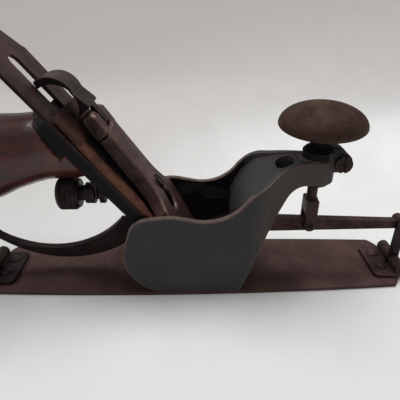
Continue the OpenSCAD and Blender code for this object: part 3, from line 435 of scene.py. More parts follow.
@dataclass(frozen=True)
class Backdrop:
    """Pale paper that the plane stands on, with a painted pool of light behind the toe and painted shade that
    greys it towards the back, the left and along its folds.
    """

    name: str = "pale_paper"
    # The near, middle and far tones paint the shade that falls off towards the back; the pool tone paints
    # light.
    near: tuple[int, int, int] = (226, 226, 224)
    middle: tuple[int, int, int] = (199, 196, 193)
    far: tuple[int, int, int] = (176, 172, 169)
    painted_light_pool: tuple[int, int, int] = (236, 236, 234)
    painted_light_at: tuple[float, float, float] = (0.2, 0.14, 0.0)
    slant: float = -0.65

    def build(self) -> bpy.types.Material:
        """Make the material.

        Returns:
            The material.
        """
        g = Graph(self.name)
        split = g.node("ShaderNodeSeparateXYZ")
        g.link(g.coords, split.inputs[0])
        # Painted shade: the paper greys towards the back and the left.
        back = g.calc("ADD", split.outputs["Y"], g.calc("MULTIPLY", split.outputs["X"], self.slant))
        col = g.blend(g.span(back, -0.05, 0.3), linear(self.near), linear(self.middle))
        col = g.blend(g.span(back, 0.25, 0.9), col, linear(self.far))
        # Painted light: a brighter pool behind the toe.
        spot = g.node("ShaderNodeVectorMath", operation="DISTANCE")
        g.link(g.coords, spot.inputs[0])
        spot.inputs[1].default_value = self.painted_light_at
        col = g.blend(g.span(spot.outputs["Value"], 0.3, 0.02, 0, 0.9), col, linear(self.painted_light_pool))
        # Painted shade along the paper's folds.
        across = g.stretch((1.0, 0.35, 1.0), (0.0, 0.0, 0.5))
        fold_shade = g.span(g.noise(90.0, 3, 0.5, 1.5, vector=across), 0.35, 0.7, 0, 0.16)
        g.link(g.blend(fold_shade, col, linear(self.far)), g.shader.inputs["Base Color"])
        g.shader.inputs["Roughness"].default_value = 0.9
        g.shader.inputs["Specular IOR Level"].default_value = 0.1
        return g.material


class Finishes:
    """Every finish of the plane, built once."""

    def __init__(self) -> None:
        """Build all the materials."""
        self.sole = AgedMetal(
            "rusted_sole_steel", (82, 59, 55), (70, 50, 47), (94, 71, 67), (100, 66, 53), (60, 46, 43),
            rust_share=0.25, metallic=0.3, rough=0.55, blotch_mm=22.0).build()
        self.steel = AgedMetal(
            "patinated_steel", (72, 52, 49), (49, 35, 33), (92, 71, 66), (98, 62, 45), (80, 62, 56),
            rust_share=0.3, metallic=0.45, rough=0.5).build()
        self.dark_steel = AgedMetal(
            "blackened_steel", (44, 30, 30), (30, 21, 21), (60, 43, 41), (70, 45, 35), (56, 42, 39),
            rust_share=0.2, metallic=0.4, rough=0.5).build()
        self.iron = AgedMetal(
            "brown_tool_steel", (72, 51, 49), (50, 35, 34), (92, 70, 66), (100, 60, 44), (86, 66, 61),
            rust_share=0.3, metallic=0.5, rough=0.45, blotch_mm=18.0).build()
        self.rusty = AgedMetal(
            "orange_rusted_steel", (94, 60, 45), (58, 38, 33), (116, 75, 54), (146, 82, 50), (106, 72, 56),
            rust_share=0.6, metallic=0.1, rough=0.7, blotch_mm=9.0, pit_mm=0.8, pit_depth=0.08).build()
        # Rubbed plating on the cap's rounded edges, with the light edge tone and high wear also painting the
        # highlight along its ridge.
        self.cap = AgedMetal(
            "worn_plated_iron_painted_ridge_highlight", (88, 66, 62), (64, 46, 44), (112, 89, 82), (110, 70, 54), (122, 99, 90),
            rust_share=0.2, metallic=0.5, rough=0.5, blotch_mm=20.0, pit_mm=0.8, pit_depth=0.04,
            wear=0.9).build()
        self.thumb = AgedMetal(
            "worn_thumb_piece", (52, 36, 35), (37, 25, 25), (70, 51, 48), (78, 47, 37), (78, 58, 54),
            rust_share=0.2, metallic=0.5, rough=0.44, blotch_mm=16.0, pit_mm=0.8, pit_depth=0.04).build()
        self.knob = AgedMetal(
            "rough_cast_knob", (62, 43, 33), (47, 32, 25), (72, 51, 38), (90, 52, 33), (74, 54, 42),
            rust_share=0.45, metallic=0.25, rough=0.7, blotch_mm=11.0, pit_mm=0.8, pit_depth=0.12,
            cast_mm=3.0, cast_depth=0.35).build()
        self.screw = AgedMetal(
            "dark_screw_steel", (54, 42, 40), (34, 26, 25), (74, 60, 56), (84, 54, 40), (78, 63, 58),
            rust_share=0.3, metallic=0.45, rough=0.46, blotch_mm=6.0).build()
        self.brass = AgedMetal(
            "blackened_brass", (50, 43, 42), (32, 27, 26), (70, 61, 57), (76, 57, 42), (84, 71, 62),
            rust_share=0.3, metallic=0.45, rough=0.46, blotch_mm=8.0).build()
        self.enamel = Japanning().build()
        self.wood = VarnishedWood().build()


class Workshop:
    """Shared mesh work: rounded copies of the frame's solids, cuts, turned pieces and hand-over to a body."""

    @staticmethod
    def body_of(node: str) -> str:
        """Name of the body that carries a CAD node."""
        for body, nodes in frame["record"]["behaviour"]["bodies"].items():
            if node in nodes:
                return body
        raise KeyError(node)

    @staticmethod
    def slot_of(node: str) -> str:
        """Material slot that the record gives a CAD node."""
        for row in frame["record"]["subparts"]:
            if row["node"] == node:
                return row["material_slot"]
        raise KeyError(node)

    @classmethod
    def hand_over(cls, obj: bpy.types.Object, node: str) -> None:
        """Put a finished piece in the place of a CAD node, on the node's body.

        Args:
            obj: The piece.
            node: Name of the CAD node.
        """
        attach(obj, cls.body_of(node))
        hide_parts(node)
        cls.slot_of(node)
        cls.report(obj)

    @staticmethod
    def report(obj: bpy.types.Object) -> None:
        """Log a finished piece."""
        LOG.info("%s: %d faces", obj.name, len(obj.data.polygons))

    @staticmethod
    def solid(node: str) -> bmesh.types.BMesh:
        """Merged copy of a CAD node, with its flat faces whole again.

        Args:
            node: Name of the CAD node.

        Returns:
            The copy.
        """
        bm = bmesh.new()
        bm.from_mesh(frame["nodes"][node].data)
        bmesh.ops.remove_doubles(bm, verts=bm.verts, dist=2e-6)
        bmesh.ops.dissolve_limit(bm, angle_limit=math.radians(0.5), verts=bm.verts, edges=bm.edges)
        return bm

    @staticmethod
    def round_edges(
        bm: bmesh.types.BMesh,
        width: float,
        angle: float = 34.0,
        segments: int = 2,
        chosen: Callable[[Vector], bool] = lambda middle: True,
    ) -> None:
        """Round the sharp edges and mark the new faces as rubbed.

        Args:
            bm: The mesh.
            width: Width of the rounding in millimetres.
            angle: Least angle of an edge that is rounded, in degrees.
            segments: Strips across a rounding.
            chosen: Tells from the middle of an edge, in millimetres, whether it is rounded.
        """
        layer = bm.faces.layers.float.get("edge_wear") or bm.faces.layers.float.new("edge_wear")
        sharp = [e for e in bm.edges if e.is_manifold and e.calc_face_angle(0.0) > math.radians(angle)
                 and chosen((e.verts[0].co + e.verts[1].co) / (2 * MM))]
        if not sharp or width <= 0:
            return
        made = bmesh.ops.bevel(bm, geom=sharp, offset=width * MM, offset_type="OFFSET", segments=segments,
                               profile=0.5, affect="EDGES", clamp_overlap=False)
        for f in made["faces"]:
            f[layer] = 1.0

    @staticmethod
    def cut(
        bm: bmesh.types.BMesh,
        at: Sequence[float],
        across: Sequence[float],
        **dropped: bool,
    ) -> list[bmesh.types.BMEdge]:
        """Cut a mesh along a plane.

        Args:
            bm: The mesh.
            at: A point of the plane, in millimetres.
            across: The plane's normal.
            dropped: Which side is taken away, if any: clear_inner or clear_outer.

        Returns:
            The edges along the cut.
        """
        geom = list(bm.verts) + list(bm.edges) + list(bm.faces)
        made = bmesh.ops.bisect_plane(bm, geom=geom, plane_co=Vector(at) * MM, plane_no=across, **dropped)
        return [e for e in made["geom_cut"] if isinstance(e, bmesh.types.BMEdge)]

    @staticmethod
    def mark_shade_and_dirt(bm: bmesh.types.BMesh, share: Callable[[Vector, Vector], float]) -> None:
        """Mark each face's share of the near-black tone: painted shade in most places, real dirt in a few.

        Args:
            bm: The mesh.
            share: Tells from a face's normal and its middle, in millimetres, its share of that tone.
        """
        layer = bm.faces.layers.float.new("shade_and_dirt_share")
        bm.normal_update()
        for f in bm.faces:
            f[layer] = share(f.normal, f.calc_center_median() / MM)

    @staticmethod
    def to_object(
        bm: bmesh.types.BMesh,
        name: str,
        finish: bpy.types.Material,
        smooth_deg: float = 38.0,
    ) -> bpy.types.Object:
        """Turn a bmesh into an object in the scene.

        Args:
            bm: The mesh, freed here.
            name: Name of the piece.
            finish: Its material.
            smooth_deg: Edges above this angle stay sharp.

        Returns:
            The object.
        """
        mesh = bpy.data.meshes.new(name)
        bm.to_mesh(mesh)
        bm.free()
        mesh.materials.append(finish)
        for p in mesh.polygons:
            p.use_smooth = True
        mesh.set_sharp_from_angle(angle=math.radians(smooth_deg))
        obj = bpy.data.objects.new(name, mesh)
        bpy.context.scene.collection.objects.link(obj)
        return obj

    @staticmethod
    def even_normals(obj: bpy.types.Object) -> None:
        """Let the large faces set the shading.

        Args:
            obj: The piece.
        """
        made = obj.modifiers.new("even_normals", "WEIGHTED_NORMAL")
        made.keep_sharp = True
        made.weight = 60

    @classmethod
    def dress(
        cls,
        node: str,
        finish: bpy.types.Material,
        width: float = 0.3,
        segments: int = 2,
        chosen: Callable[[Vector], bool] = lambda middle: True,
        shade_and_dirt_share: Callable[[Vector, Vector], float] | None = None,
    ) -> None:
        """Replace a CAD node by a copy with rounded edges.

        Args:
            node: Name of the CAD node.
            finish: Material of the copy.
            width: Width of the rounding in millimetres.
            segments: Strips across a rounding.
            chosen: Tells from the middle of an edge, in millimetres, whether it is rounded.
            shade_and_dirt_share: Share of the near-black tone of a face, painted shade in most places and
                real dirt in a few, from its normal and its middle in millimetres.
        """
        bm = cls.solid(node)
        cls.round_edges(bm, width, segments=segments, chosen=chosen)
        if shade_and_dirt_share:
            cls.mark_shade_and_dirt(bm, shade_and_dirt_share)
        obj = cls.to_object(bm, f"{node}_piece", finish)
        cls.even_normals(obj)
        cls.hand_over(obj, node)

    @staticmethod
    def paint(node: str, finish: bpy.types.Material) -> None:
        """Give a CAD node that shows as itself its finish.

        Args:
            node: Name of the CAD node.
            finish: Its material.
        """
        obj = frame["nodes"][node]
        obj.data.materials.clear()
        obj.data.materials.append(finish)

    @staticmethod
    def lathe(profile: Sequence[tuple[float, float]], steps: int = 96) -> bmesh.types.BMesh:
        """Turn a closed outline round the Z axis.

        Args:
            profile: Points (radius, height) in millimetres, from one pole to the other.
            steps: Faces round.

        Returns:
            The turned mesh.
        """
        bm = bmesh.new()
        rings = []
        for r, z in profile:
            if r < 1e-6:
                rings.append([bm.verts.new((0, 0, z * MM))])
            else:
                rings.append([bm.verts.new((r * MM * math.cos(2 * math.pi * i / steps),
                                            r * MM * math.sin(2 * math.pi * i / steps), z * MM))
                              for i in range(steps)])
        for a, b in zip(rings, rings[1:]):
            for i in range(steps):
                j = (i + 1) % steps
                corners = [a[i % len(a)], a[j % len(a)], b[j % len(b)], b[i % len(b)]]
                unique = list(dict.fromkeys(corners))
                if len(unique) > 2:
                    bm.faces.new(unique)
        bmesh.ops.recalc_face_normals(bm, faces=bm.faces)
        return bm


class GeoTree(NodeTree):
    """A geometry node tree with named sizes, run once and turned into a plain mesh."""

    def __init__(self, name: str) -> None:
        """Start an empty tree.

        Args:
            name: Name of the tree.
        """
        self.tree = bpy.data.node_groups.new(name, "GeometryNodeTree")
        self.tree.interface.new_socket("Geometry", in_out="OUTPUT", socket_type="NodeSocketGeometry")
        self.inputs = self.node("NodeGroupInput")
        self.values: dict[str, object] = {}

    def size(self, name: str, value: object, kind: str = "NodeSocketFloat") -> bpy.types.NodeSocket:
        """Add a named input.

        Args:
            name: Name of the input.
            value: Its value.
            kind: Socket type.

        Returns:
            The socket that carries it.
        """
        self.tree.interface.new_socket(name, in_out="INPUT", socket_type=kind)
        self.values[name] = value
        return self.inputs.outputs[name]

    def bake(self, geometry: bpy.types.NodeSocket, finish: bpy.types.Material, name: str) -> bpy.types.Object:
        """End the tree, run it and keep the mesh.

        Args:
            geometry: What the tree made.
            finish: Material of the result.
            name: Name of the piece.

        Returns:
            A plain mesh object.
        """
        real = self.node("GeometryNodeRealizeInstances")
        paint = self.node("GeometryNodeSetMaterial")
        paint.inputs["Material"].default_value = finish
        out = self.node("NodeGroupOutput")
        self.link(geometry, real.inputs[0])
        self.link(real.outputs[0], paint.inputs[0])
        self.link(paint.outputs[0], out.inputs[0])
        host = bpy.data.objects.new(f"{name}_host", bpy.data.meshes.new(f"{name}_host"))
        bpy.context.scene.collection.objects.link(host)
        run = host.modifiers.new("tree", "NODES")
        run.node_group = self.tree
        for item in self.tree.interface.items_tree:
            if item.item_type == "SOCKET" and item.in_out == "INPUT" and item.name in self.values:
                run[item.identifier] = self.values[item.name]
        bpy.context.view_layer.update()
        mesh = bpy.data.meshes.new_from_object(host.evaluated_get(bpy.context.evaluated_depsgraph_get()))
        mesh.name = name
        host.modifiers.remove(run)
        bpy.data.objects.remove(host)
        if not mesh.materials:
            mesh.materials.append(finish)
        made = bpy.data.objects.new(name, mesh)
        bpy.context.scene.collection.objects.link(made)
        return made


@dataclass
class ScrewThread:
    """A screw thread wound on a round bar."""

    radius: float
    pitch: float
    length: float
    ridge: float

    def build(self, name: str, finish: bpy.types.Material, place: Matrix) -> bpy.types.Object:
        """Wind the thread and put it in place.

        Args:
            name: Name of the piece.
            finish: Its material.
            place: Where the thread's foot and axis lie.

        Returns:
            The thread.
        """
        g = GeoTree(f"{name}_tree")
        turns = g.size("Turns", self.length / self.pitch)
        radius = g.size("Radius", self.radius * MM)
        height = g.size("Height", self.length * MM)
        ridge = g.size("Ridge", self.ridge * MM)
        spiral = g.node("GeometryNodeCurveSpiral")
        spiral.inputs["Resolution"].default_value = 28
        g.link(turns, spiral.inputs["Rotations"])
        g.link(radius, spiral.inputs["Start Radius"])
        g.link(radius, spiral.inputs["End Radius"])
        g.link(height, spiral.inputs["Height"])
        profile = g.node("GeometryNodeCurvePrimitiveCircle", mode="RADIUS")
        profile.inputs["Resolution"].default_value = 5
        g.link(ridge, profile.inputs["Radius"])
        sweep = g.node("GeometryNodeCurveToMesh")
        g.link(spiral.outputs[0], sweep.inputs["Curve"])
        g.link(profile.outputs[0], sweep.inputs["Profile Curve"])
        sweep.inputs["Fill Caps"].default_value = True
        obj = g.bake(sweep.outputs[0], finish, name)
        obj.data.transform(place)
        for p in obj.data.polygons:
            p.use_smooth = True
        return obj


@dataclass
class RingOfRidges:
    """Fine ridges round a wheel, as knurling."""

    radius: float
    count: int
    length: float
    depth: float

    def build(self, name: str, finish: bpy.types.Material, place: Matrix) -> bpy.types.Object:
        """Set the ridges round the wheel.

        Args:
            name: Name of the piece.
            finish: Its material.
            place: Where the wheel's middle and axis lie.

        Returns:
            The ridges as one mesh.
        """
        g = GeoTree(f"{name}_tree")
        radius = g.size("Radius", self.radius * MM)
        length = g.size("Length", self.length * MM)
        depth = g.size("Depth", self.depth * MM)
        count = g.size("Count", self.count, "NodeSocketInt")
        ring = g.node("GeometryNodeMeshCircle")
        g.link(count, ring.inputs["Vertices"])
        g.link(radius, ring.inputs["Radius"])
        bar = g.node("GeometryNodeMeshCylinder")
        bar.inputs["Vertices"].default_value = 6
        g.link(depth, bar.inputs["Radius"])
        g.link(length, bar.inputs["Depth"])
        spread = g.node("GeometryNodeInstanceOnPoints")
        g.link(ring.outputs[0], spread.inputs["Points"])
        g.link(bar.outputs[0], spread.inputs["Instance"])
        obj = g.bake(spread.outputs[0], finish, name)
        obj.data.transform(place)
        return obj


@dataclass
class RivetRow:
    """Domed rivet heads in a row across a bracket."""

    x: float
    y: float
    spread: float
    z: float
    radius: float = 3.7
    rise: float = 1.3

    def build(self, name: str, finish: bpy.types.Material) -> bpy.types.Object:
        """Set the heads.

        Args:
            name: Name of the piece.
            finish: Its material.

        Returns:
            The heads as one mesh.
        """
        g = GeoTree(f"{name}_tree")
        start = g.size("Start", (self.x * MM, (self.y - self.spread) * MM, self.z * MM), "NodeSocketVector")
        step = g.size("Step", (0.0, 2 * self.spread * MM, 0.0), "NodeSocketVector")
        radius = g.size("Radius", self.radius * MM)
        line = g.node("GeometryNodeMeshLine", mode="OFFSET")
        line.inputs["Count"].default_value = 2
        g.link(start, line.inputs["Start Location"])
        g.link(step, line.inputs["Offset"])
        ball = g.node("GeometryNodeMeshUVSphere")
        ball.inputs["Segments"].default_value = 28
        ball.inputs["Rings"].default_value = 16
        g.link(radius, ball.inputs["Radius"])
        flat = g.node("GeometryNodeTransform")
        flat.inputs["Scale"].default_value = (1.0, 1.0, self.rise / self.radius)
        g.link(ball.outputs[0], flat.inputs["Geometry"])
        heads = g.node("GeometryNodeInstanceOnPoints")
        g.link(line.outputs[0], heads.inputs["Points"])
        g.link(flat.outputs[0], heads.inputs["Instance"])
        obj = g.bake(heads.outputs[0], finish, name)
        for p in obj.data.polygons:
            p.use_smooth = True
        return obj


@dataclass
class CastBody:
    """Main casting: cheeks, throat, arm with the split boss, and bed."""

    finishes: Finishes
    cheek_y: float = 23.4
    rim_rounding: float = 0.9
    rounding: float = 0.45
    corner_x: float = 30.5
    corner_r: float = 14.0
    half_width: float = 27.0
    neck: float = 10.2
    flare_r: float = 30.0
    rim_foot: float = 2.3
    boss_x: float = 66.0
    throat_y: float = 23.2
    throat_rear: float = -25.0
    throat_front: float = 38.0
    throat_top: float = 64.0
    deep_front: float = 20.0
    deep_top: float = 50.0
    bed_y: float = 22.6
    collar_z: float = 76.3
    pinch_reach: float = 2.0
    pinch_foot: float = 7.0
    pinch_top: float = 16.0

    def outer_y(self, x: float) -> float:
        """Half the casting's width at a distance ahead of mid-length.

        Args:
            x: That distance in millimetres.

        Returns:
            Half the width over the cheeks, the rounded corners, the flare or the neck.
        """
        middle = self.half_width - self.corner_r
        rise = self.neck + self.flare_r - middle
        reach = self.corner_r + self.flare_r
        along = math.sqrt(reach**2 - rise**2)
        ahead = x - self.corner_x
        if ahead <= 0:
            return self.half_width
        if ahead < self.corner_r * along / reach:
            return middle + math.sqrt(self.corner_r**2 - ahead**2)
        if ahead < along:
            return self.neck + self.flare_r - math.sqrt(self.flare_r**2 - (ahead - along) ** 2)
        return self.neck

    def on_rim(self, middle: Vector) -> bool:
        """Tell whether an edge belongs to the rim of a cheek or to the arm's outer edge."""
        if middle.z < self.rim_foot or middle.x > self.boss_x:
            return False
        return abs(middle.y) > (self.cheek_y if middle.x < self.corner_x else self.outer_y(middle.x) - 0.4)

    def mark_faces(self, bm: bmesh.types.BMesh) -> None:
        """Mark the cheeks' bare rims and the thin enamel of the arm's sides, and keep the throat unrubbed.

        Args:
            bm: Mesh of the casting.
        """
        wear = bm.faces.layers.float["edge_wear"]
        bare = bm.faces.layers.float.new("bare")
        bm.normal_update()
        for f in bm.faces:
            at = f.calc_center_median() / MM
            outside = abs(at.y) > self.outer_y(at.x) - 1.5
            if abs(f.normal.y) < 0.4 and abs(at.y) > self.cheek_y and at.z > 8 and at.x < self.corner_x:
                f[wear] = 1.0
            if outside and abs(f.normal.z) < 0.6 and at.x > 20:
                f[bare] = 1.0
            in_throat = abs(at.y) < self.throat_y and self.throat_rear < at.x < self.throat_front
            if in_throat and at.z < self.throat_top:
                f[wear] = 0.0

    def shade_and_dirt(self, normal: Vector, middle: Vector) -> float:
        """Share of painted shade: full on the bed's edges and the collar with its ears under the knob, less
        deep in the throat.

        Args:
            normal: Normal of a face.
            middle: Its middle in millimetres.

        Returns:
            The share from 0 to 1.
        """
        on_bed = middle.x < 8 and middle.z > 20 and abs(middle.y) < self.bed_y and abs(normal.y) > 0.7
        on_ears = middle.x > 79.5 and abs(normal.y) < 0.9
        if on_bed or on_ears or (middle.x > 60 and middle.z > self.collar_z):
            return 1.0
        between = abs(middle.y) < 23.7 and self.throat_rear < middle.x < self.deep_front
        return 0.8 if between and middle.z < self.deep_top else 0.0

    def pinched(self, middle: Vector) -> bool:
        """Tell whether an edge is in the tight foot of a rim, where a rounding would throw up a spike."""
        by_corner = abs(middle.x - self.corner_x) < self.pinch_reach and abs(middle.y) > self.bed_y
        return by_corner and self.pinch_foot < middle.z < self.pinch_top

    def build(self) -> None:
        """Round the cheeks' rims broadly and every other edge of the casting less."""
        bm = Workshop.solid("body")
        Workshop.round_edges(bm, self.rim_rounding, segments=3, chosen=self.on_rim)
        Workshop.round_edges(bm, self.rounding, chosen=lambda at: not (self.on_rim(at) or self.pinched(at)))
        self.mark_faces(bm)
        Workshop.mark_shade_and_dirt(bm, self.shade_and_dirt)
        obj = Workshop.to_object(bm, "body_casting", self.finishes.enamel)
        Workshop.even_normals(obj)
        Workshop.hand_over(obj, "body")
        Workshop.dress("clamp_screw", self.finishes.screw, 0.35)
        Workshop.paint("sole_screws", self.finishes.screw)


@dataclass
class FlexibleSole:
    """Thin steel sole, rigid under the body, that bends towards both ends, with its brackets and rivets."""

    finishes: Finishes
    split_x: float = -24.0
    rigid_front: float = 24.0
    rigid_rear: float = -30.0
    bracket_x: float = 110.7
    end_x: float = 128.0
    step: float = 4.0
    rounding: float = 0.3
    rivet_gap: float = 7.3
    rivet_y: float = -1.3
    rivet_spread: float = 6.3
    plate_top: float = 4.2

    def half(self, front: bool) -> bmesh.types.BMesh:
        """One end of the sole, cut into narrow strips so that it can bend.

        Args:
            front: True for the end towards the toe.

        Returns:
            The mesh.
        """
        bm = Workshop.solid("sole")
        Workshop.round_edges(bm, self.rounding, angle=50.0)
        rim = Workshop.cut(bm, (self.split_x, 0, 0), (1, 0, 0), clear_inner=front, clear_outer=not front)
        bmesh.ops.holes_fill(bm, edges=rim, sides=0)
        step = self.step if front else -self.step
        x = self.split_x + step
        while abs(x) < self.end_x:
            Workshop.cut(bm, (x, 0, 0), (1, 0, 0))
            x += step
        bmesh.ops.recalc_face_normals(bm, faces=bm.faces)
        return bm

    def build(self) -> None:
        """Build both halves, the brackets, their pins and rivet heads."""
        for front, name, body in ((True, "sole_front", Body.TOE), (False, "sole_rear", Body.HEEL)):
            obj = Workshop.to_object(self.half(front), name, self.finishes.sole)
            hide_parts("sole")
            start, end = (self.rigid_front, self.bracket_x) if front else (self.rigid_rear, -self.bracket_x)
            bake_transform(obj, Body.CASTING.value, body.value, (start * MM, 0, 0), (end * MM, 0, 0))
            Workshop.report(obj)
        for end, sign in (("toe", 1), ("heel", -1)):
            plate = self.finishes.steel if sign > 0 else self.finishes.dark_steel
            Workshop.dress(f"{end}_bracket", plate, 0.35)
            Workshop.paint(f"{end}_hinge_pin", self.finishes.screw)
            rivet_x = sign * (self.bracket_x + self.rivet_gap)
            row = RivetRow(rivet_x, self.rivet_y, self.rivet_spread, self.plate_top)
            Workshop.hand_over(row.build(f"{end}_rivet_heads", plate), f"{end}_rivets")


@dataclass
class LeverTrain:
    """Both levers with their shafts, sectors and links."""

    finishes: Finishes

    def build(self) -> None:
        """Round the levers and links and paint what lies inside."""
        Workshop.dress("front_lever", self.finishes.steel, 0.45)
        Workshop.dress("rear_lever", self.finishes.dark_steel, 0.45)
        for node in ("front_link", "rear_link"):
            Workshop.dress(node, self.finishes.dark_steel, 0.35)
        for node in ("front_sector", "rear_sector"):
            Workshop.dress(node, self.finishes.screw, 0.12)
        for node in ("front_shaft", "rear_shaft"):
            Workshop.paint(node, self.finishes.screw)
        for node in ("front_link_pin", "rear_link_pin"):
            Workshop.dress(node, self.finishes.screw, 0.3)


@dataclass
class AdjustingKnob:
    """Broad cast knob, its threaded rod and the fork below."""

    finishes: Finishes
    x: float = 69.3
    rim_r: float = 24.0
    rim_z: float = 95.0
    lip: float = 3.0
    rise: float = 12.0
    drop: float = 6.0
    neck_r: float = 5.2
    flange_z: float = 81.05
    flange_r: float = 7.6
    stem_r: float = 6.5
    stem_foot: float = 59.3
    groove_r: float = 5.6
    bore_r: float = 3.4
    bore_top: float = 98.4
    thread_foot: float = 51.0

    def outline(self) -> list[tuple[float, float]]:
        """Outline of the knob: dome, rim, neck, flange on the collar, stem with its groove, and bore.

        Returns:
            Points (radius, height) in millimetres.
        """
        pts = [(0.0, self.rim_z + self.rise)]
        for i in range(1, 33):
            a = math.radians(90 - 90 * i / 32)
            c = math.cos(a)
            r = (self.rim_r - self.lip) * c**0.8 + self.lip * c * c
            pts.append((r, self.rim_z + self.rise * math.sin(a)))
        reach = self.rim_r - self.neck_r
        for i in range(1, 25):
            a = math.radians(-80 * i / 24)
            pts.append((self.neck_r + reach * math.cos(a), self.rim_z + self.drop * math.sin(a)))
        low, flange, foot = self.rim_z - self.drop, self.flange_z, self.stem_foot
        neck, wide, stem, groove = self.neck_r, self.flange_r, self.stem_r, self.groove_r
        pts += [(neck + 2.2, low - 0.3), (neck + 0.8, low - 1.2), (neck, low - 2.6), (neck, flange + 1.2),
                (wide - 0.4, flange + 1.1), (wide, flange + 0.8), (wide, flange + 0.3), (wide - 0.3, flange),
                (stem, flange), (stem, foot + 2.8), (groove, foot + 2.8), (groove, foot + 1.1),
                (stem, foot + 1.1), (stem, foot + 0.3), (stem - 0.3, foot), (self.bore_r, foot),
                (self.bore_r, self.bore_top), (0.0, self.bore_top)]
        return pts

    def build(self) -> None:
        """Turn the knob and wind the rod's thread."""
        bm = Workshop.lathe(self.outline(), 128)
        bmesh.ops.translate(bm, verts=bm.verts, vec=(self.x * MM, 0, 0))
        # Painted shade: the neck, flange and stem under the knob's rim go near-black.
        Workshop.mark_shade_and_dirt(bm, lambda normal, middle: 1.0 if middle.z < self.rim_z - self.drop + 0.6 else 0.0)
        knob = Workshop.to_object(bm, "knob_turned", self.finishes.knob, 42.0)
        Workshop.hand_over(knob, "knob")
        Workshop.paint("stem_ring", self.finishes.screw)
        Workshop.dress("adjusting_rod", self.finishes.steel, 0.8)
        Workshop.dress("fork_pin", self.finishes.screw, 0.3)
        place = Matrix.Translation((self.x * MM, 0, self.thread_foot * MM))
        winding = ScrewThread(radius=2.85, pitch=1.5, length=42.0, ridge=0.32)
        thread = winding.build("rod_thread", self.finishes.steel, place)
        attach(thread, Body.ROD.value)
        Workshop.report(thread)


@dataclass
class CuttingIron:
    """Cutter and cap iron with the screw that joins them."""

    finishes: Finishes
    # Outside this half-width the cap iron's top is left unshaded; inside it gets painted shadow from the
    # lever cap.
    unshaded_edge_y: float = 14.4
    seam: float = 0.8
    upper_z: float = 92.0

    def under_cap(self, normal: Vector, middle: Vector) -> float:
        """Share of the near-black tone on the cap iron: painted shadow black by the lever cap, its real
        darker brown above, none along the lower edges.
        """
        if abs(middle.y) < self.unshaded_edge_y - self.seam:
            return 0.6 if middle.z > self.upper_z else 1.0
        return 0.55 if abs(middle.y) < self.unshaded_edge_y or middle.z > self.upper_z else 0.0

    def cap_iron(self) -> None:
        """Round the cap iron, cut it along the lines where its painted shadow and darker upper end change,
        and dress it.
        """
        bm = Workshop.solid("cap_iron")
        Workshop.round_edges(bm, 0.22)
        for edge in (self.unshaded_edge_y, self.unshaded_edge_y - self.seam):
            for y in (edge, -edge):
                Workshop.cut(bm, (0, y, 0), (0, 1, 0))
        Workshop.cut(bm, (0, 0, self.upper_z), (0, 0, 1))
        Workshop.mark_shade_and_dirt(bm, self.under_cap)
        obj = Workshop.to_object(bm, "cap_iron_piece", self.finishes.rusty)
        Workshop.even_normals(obj)
        Workshop.hand_over(obj, "cap_iron")

    @staticmethod
    def on_sides(normal: Vector, middle: Vector) -> float:
        """Share of the near-black tone on the cutter: only its long sides are darkened."""
        return 0.7 if abs(normal.y) > 0.8 else 0.0

    def build(self) -> None:
        """Round both irons' edges a little."""
        Workshop.dress("cutter", self.finishes.iron, 0.22, shade_and_dirt_share=self.on_sides)
        self.cap_iron()
        Workshop.paint("cap_iron_screw", self.finishes.screw)


@dataclass
class CapGroup:
    """Lever cap with its screw, spring and cam lever."""

    finishes: Finishes
    pin_x: float = -51.2
    pin_z: float = 98.2
    bore_reach: float = 2.6

    def away_from_pin(self, middle: Vector) -> bool:
        """Tell whether an edge isn't the mouth of the cam pin's bore."""
        return math.hypot(middle.x - self.pin_x, middle.z - self.pin_z) > self.bore_reach

    @staticmethod
    def sideways(normal: Vector, middle: Vector) -> float:
        """Share of painted shade of a face: full on faces that look sideways or down."""
        return 1.0 if abs(normal.y) > 0.8 or normal.z < -0.3 else 0.0

    @staticmethod
    def below(normal: Vector, middle: Vector) -> float:
        """Share of painted shade of a face of the cap: full underneath, a little on its sides."""
        if normal.z < -0.3:
            return 1.0
        return 0.35 if abs(normal.y) > 0.8 else 0.0

    def build(self) -> None:
        """Round the cap and the cam lever, and paint the small parts."""
        Workshop.dress("lever_cap", self.finishes.cap, 1.5, 3, self.away_from_pin, self.below)
        Workshop.dress("cam_lever", self.finishes.thumb, 0.5, shade_and_dirt_share=self.sideways)
        Workshop.dress("lever_cap_screw", self.finishes.screw, 0.25)
        for node in ("cap_spring", "spring_rivet"):
            Workshop.paint(node, self.finishes.screw)
        Workshop.paint("cam_pin", self.finishes.cap)


@dataclass
class DepthAdjuster:
    """Nut on its stud and the forked lever that moves the iron."""

    finishes: Finishes
    wheel_x: float = -73.2
    z: float = 55.0

    def build(self) -> None:
        """Dress the nut, its stud and the forked lever, and set the nut's knurling."""
        Workshop.dress("depth_nut", self.finishes.brass, 0.3)
        Workshop.dress("depth_lever", self.finishes.screw, 0.25)
        Workshop.paint("depth_lever_pin", self.finishes.screw)
        Workshop.dress("depth_stud", self.finishes.screw, 0.3)
        place = Matrix.Translation((self.wheel_x * MM, 0, self.z * MM)) @ Matrix.Rotation(math.pi / 2, 4, "Y")
        ring = RingOfRidges(radius=9.45, count=72, length=8.4, depth=0.3)
        ridges = ring.build("nut_knurling", self.finishes.brass, place)
        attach(ridges, Body.NUT.value)
        Workshop.report(ridges)


@dataclass
class RearHandle:
    """Turned wooden handle on the bed's back."""

    finishes: Finishes

    def build(self) -> None:
        """Dress the handle, its bolt and nut."""
        Workshop.dress("handle", self.finishes.wood, 0.8)
        Workshop.paint("handle_bolt", self.finishes.screw)
        Workshop.dress("handle_nut", self.finishes.brass, 0.3)


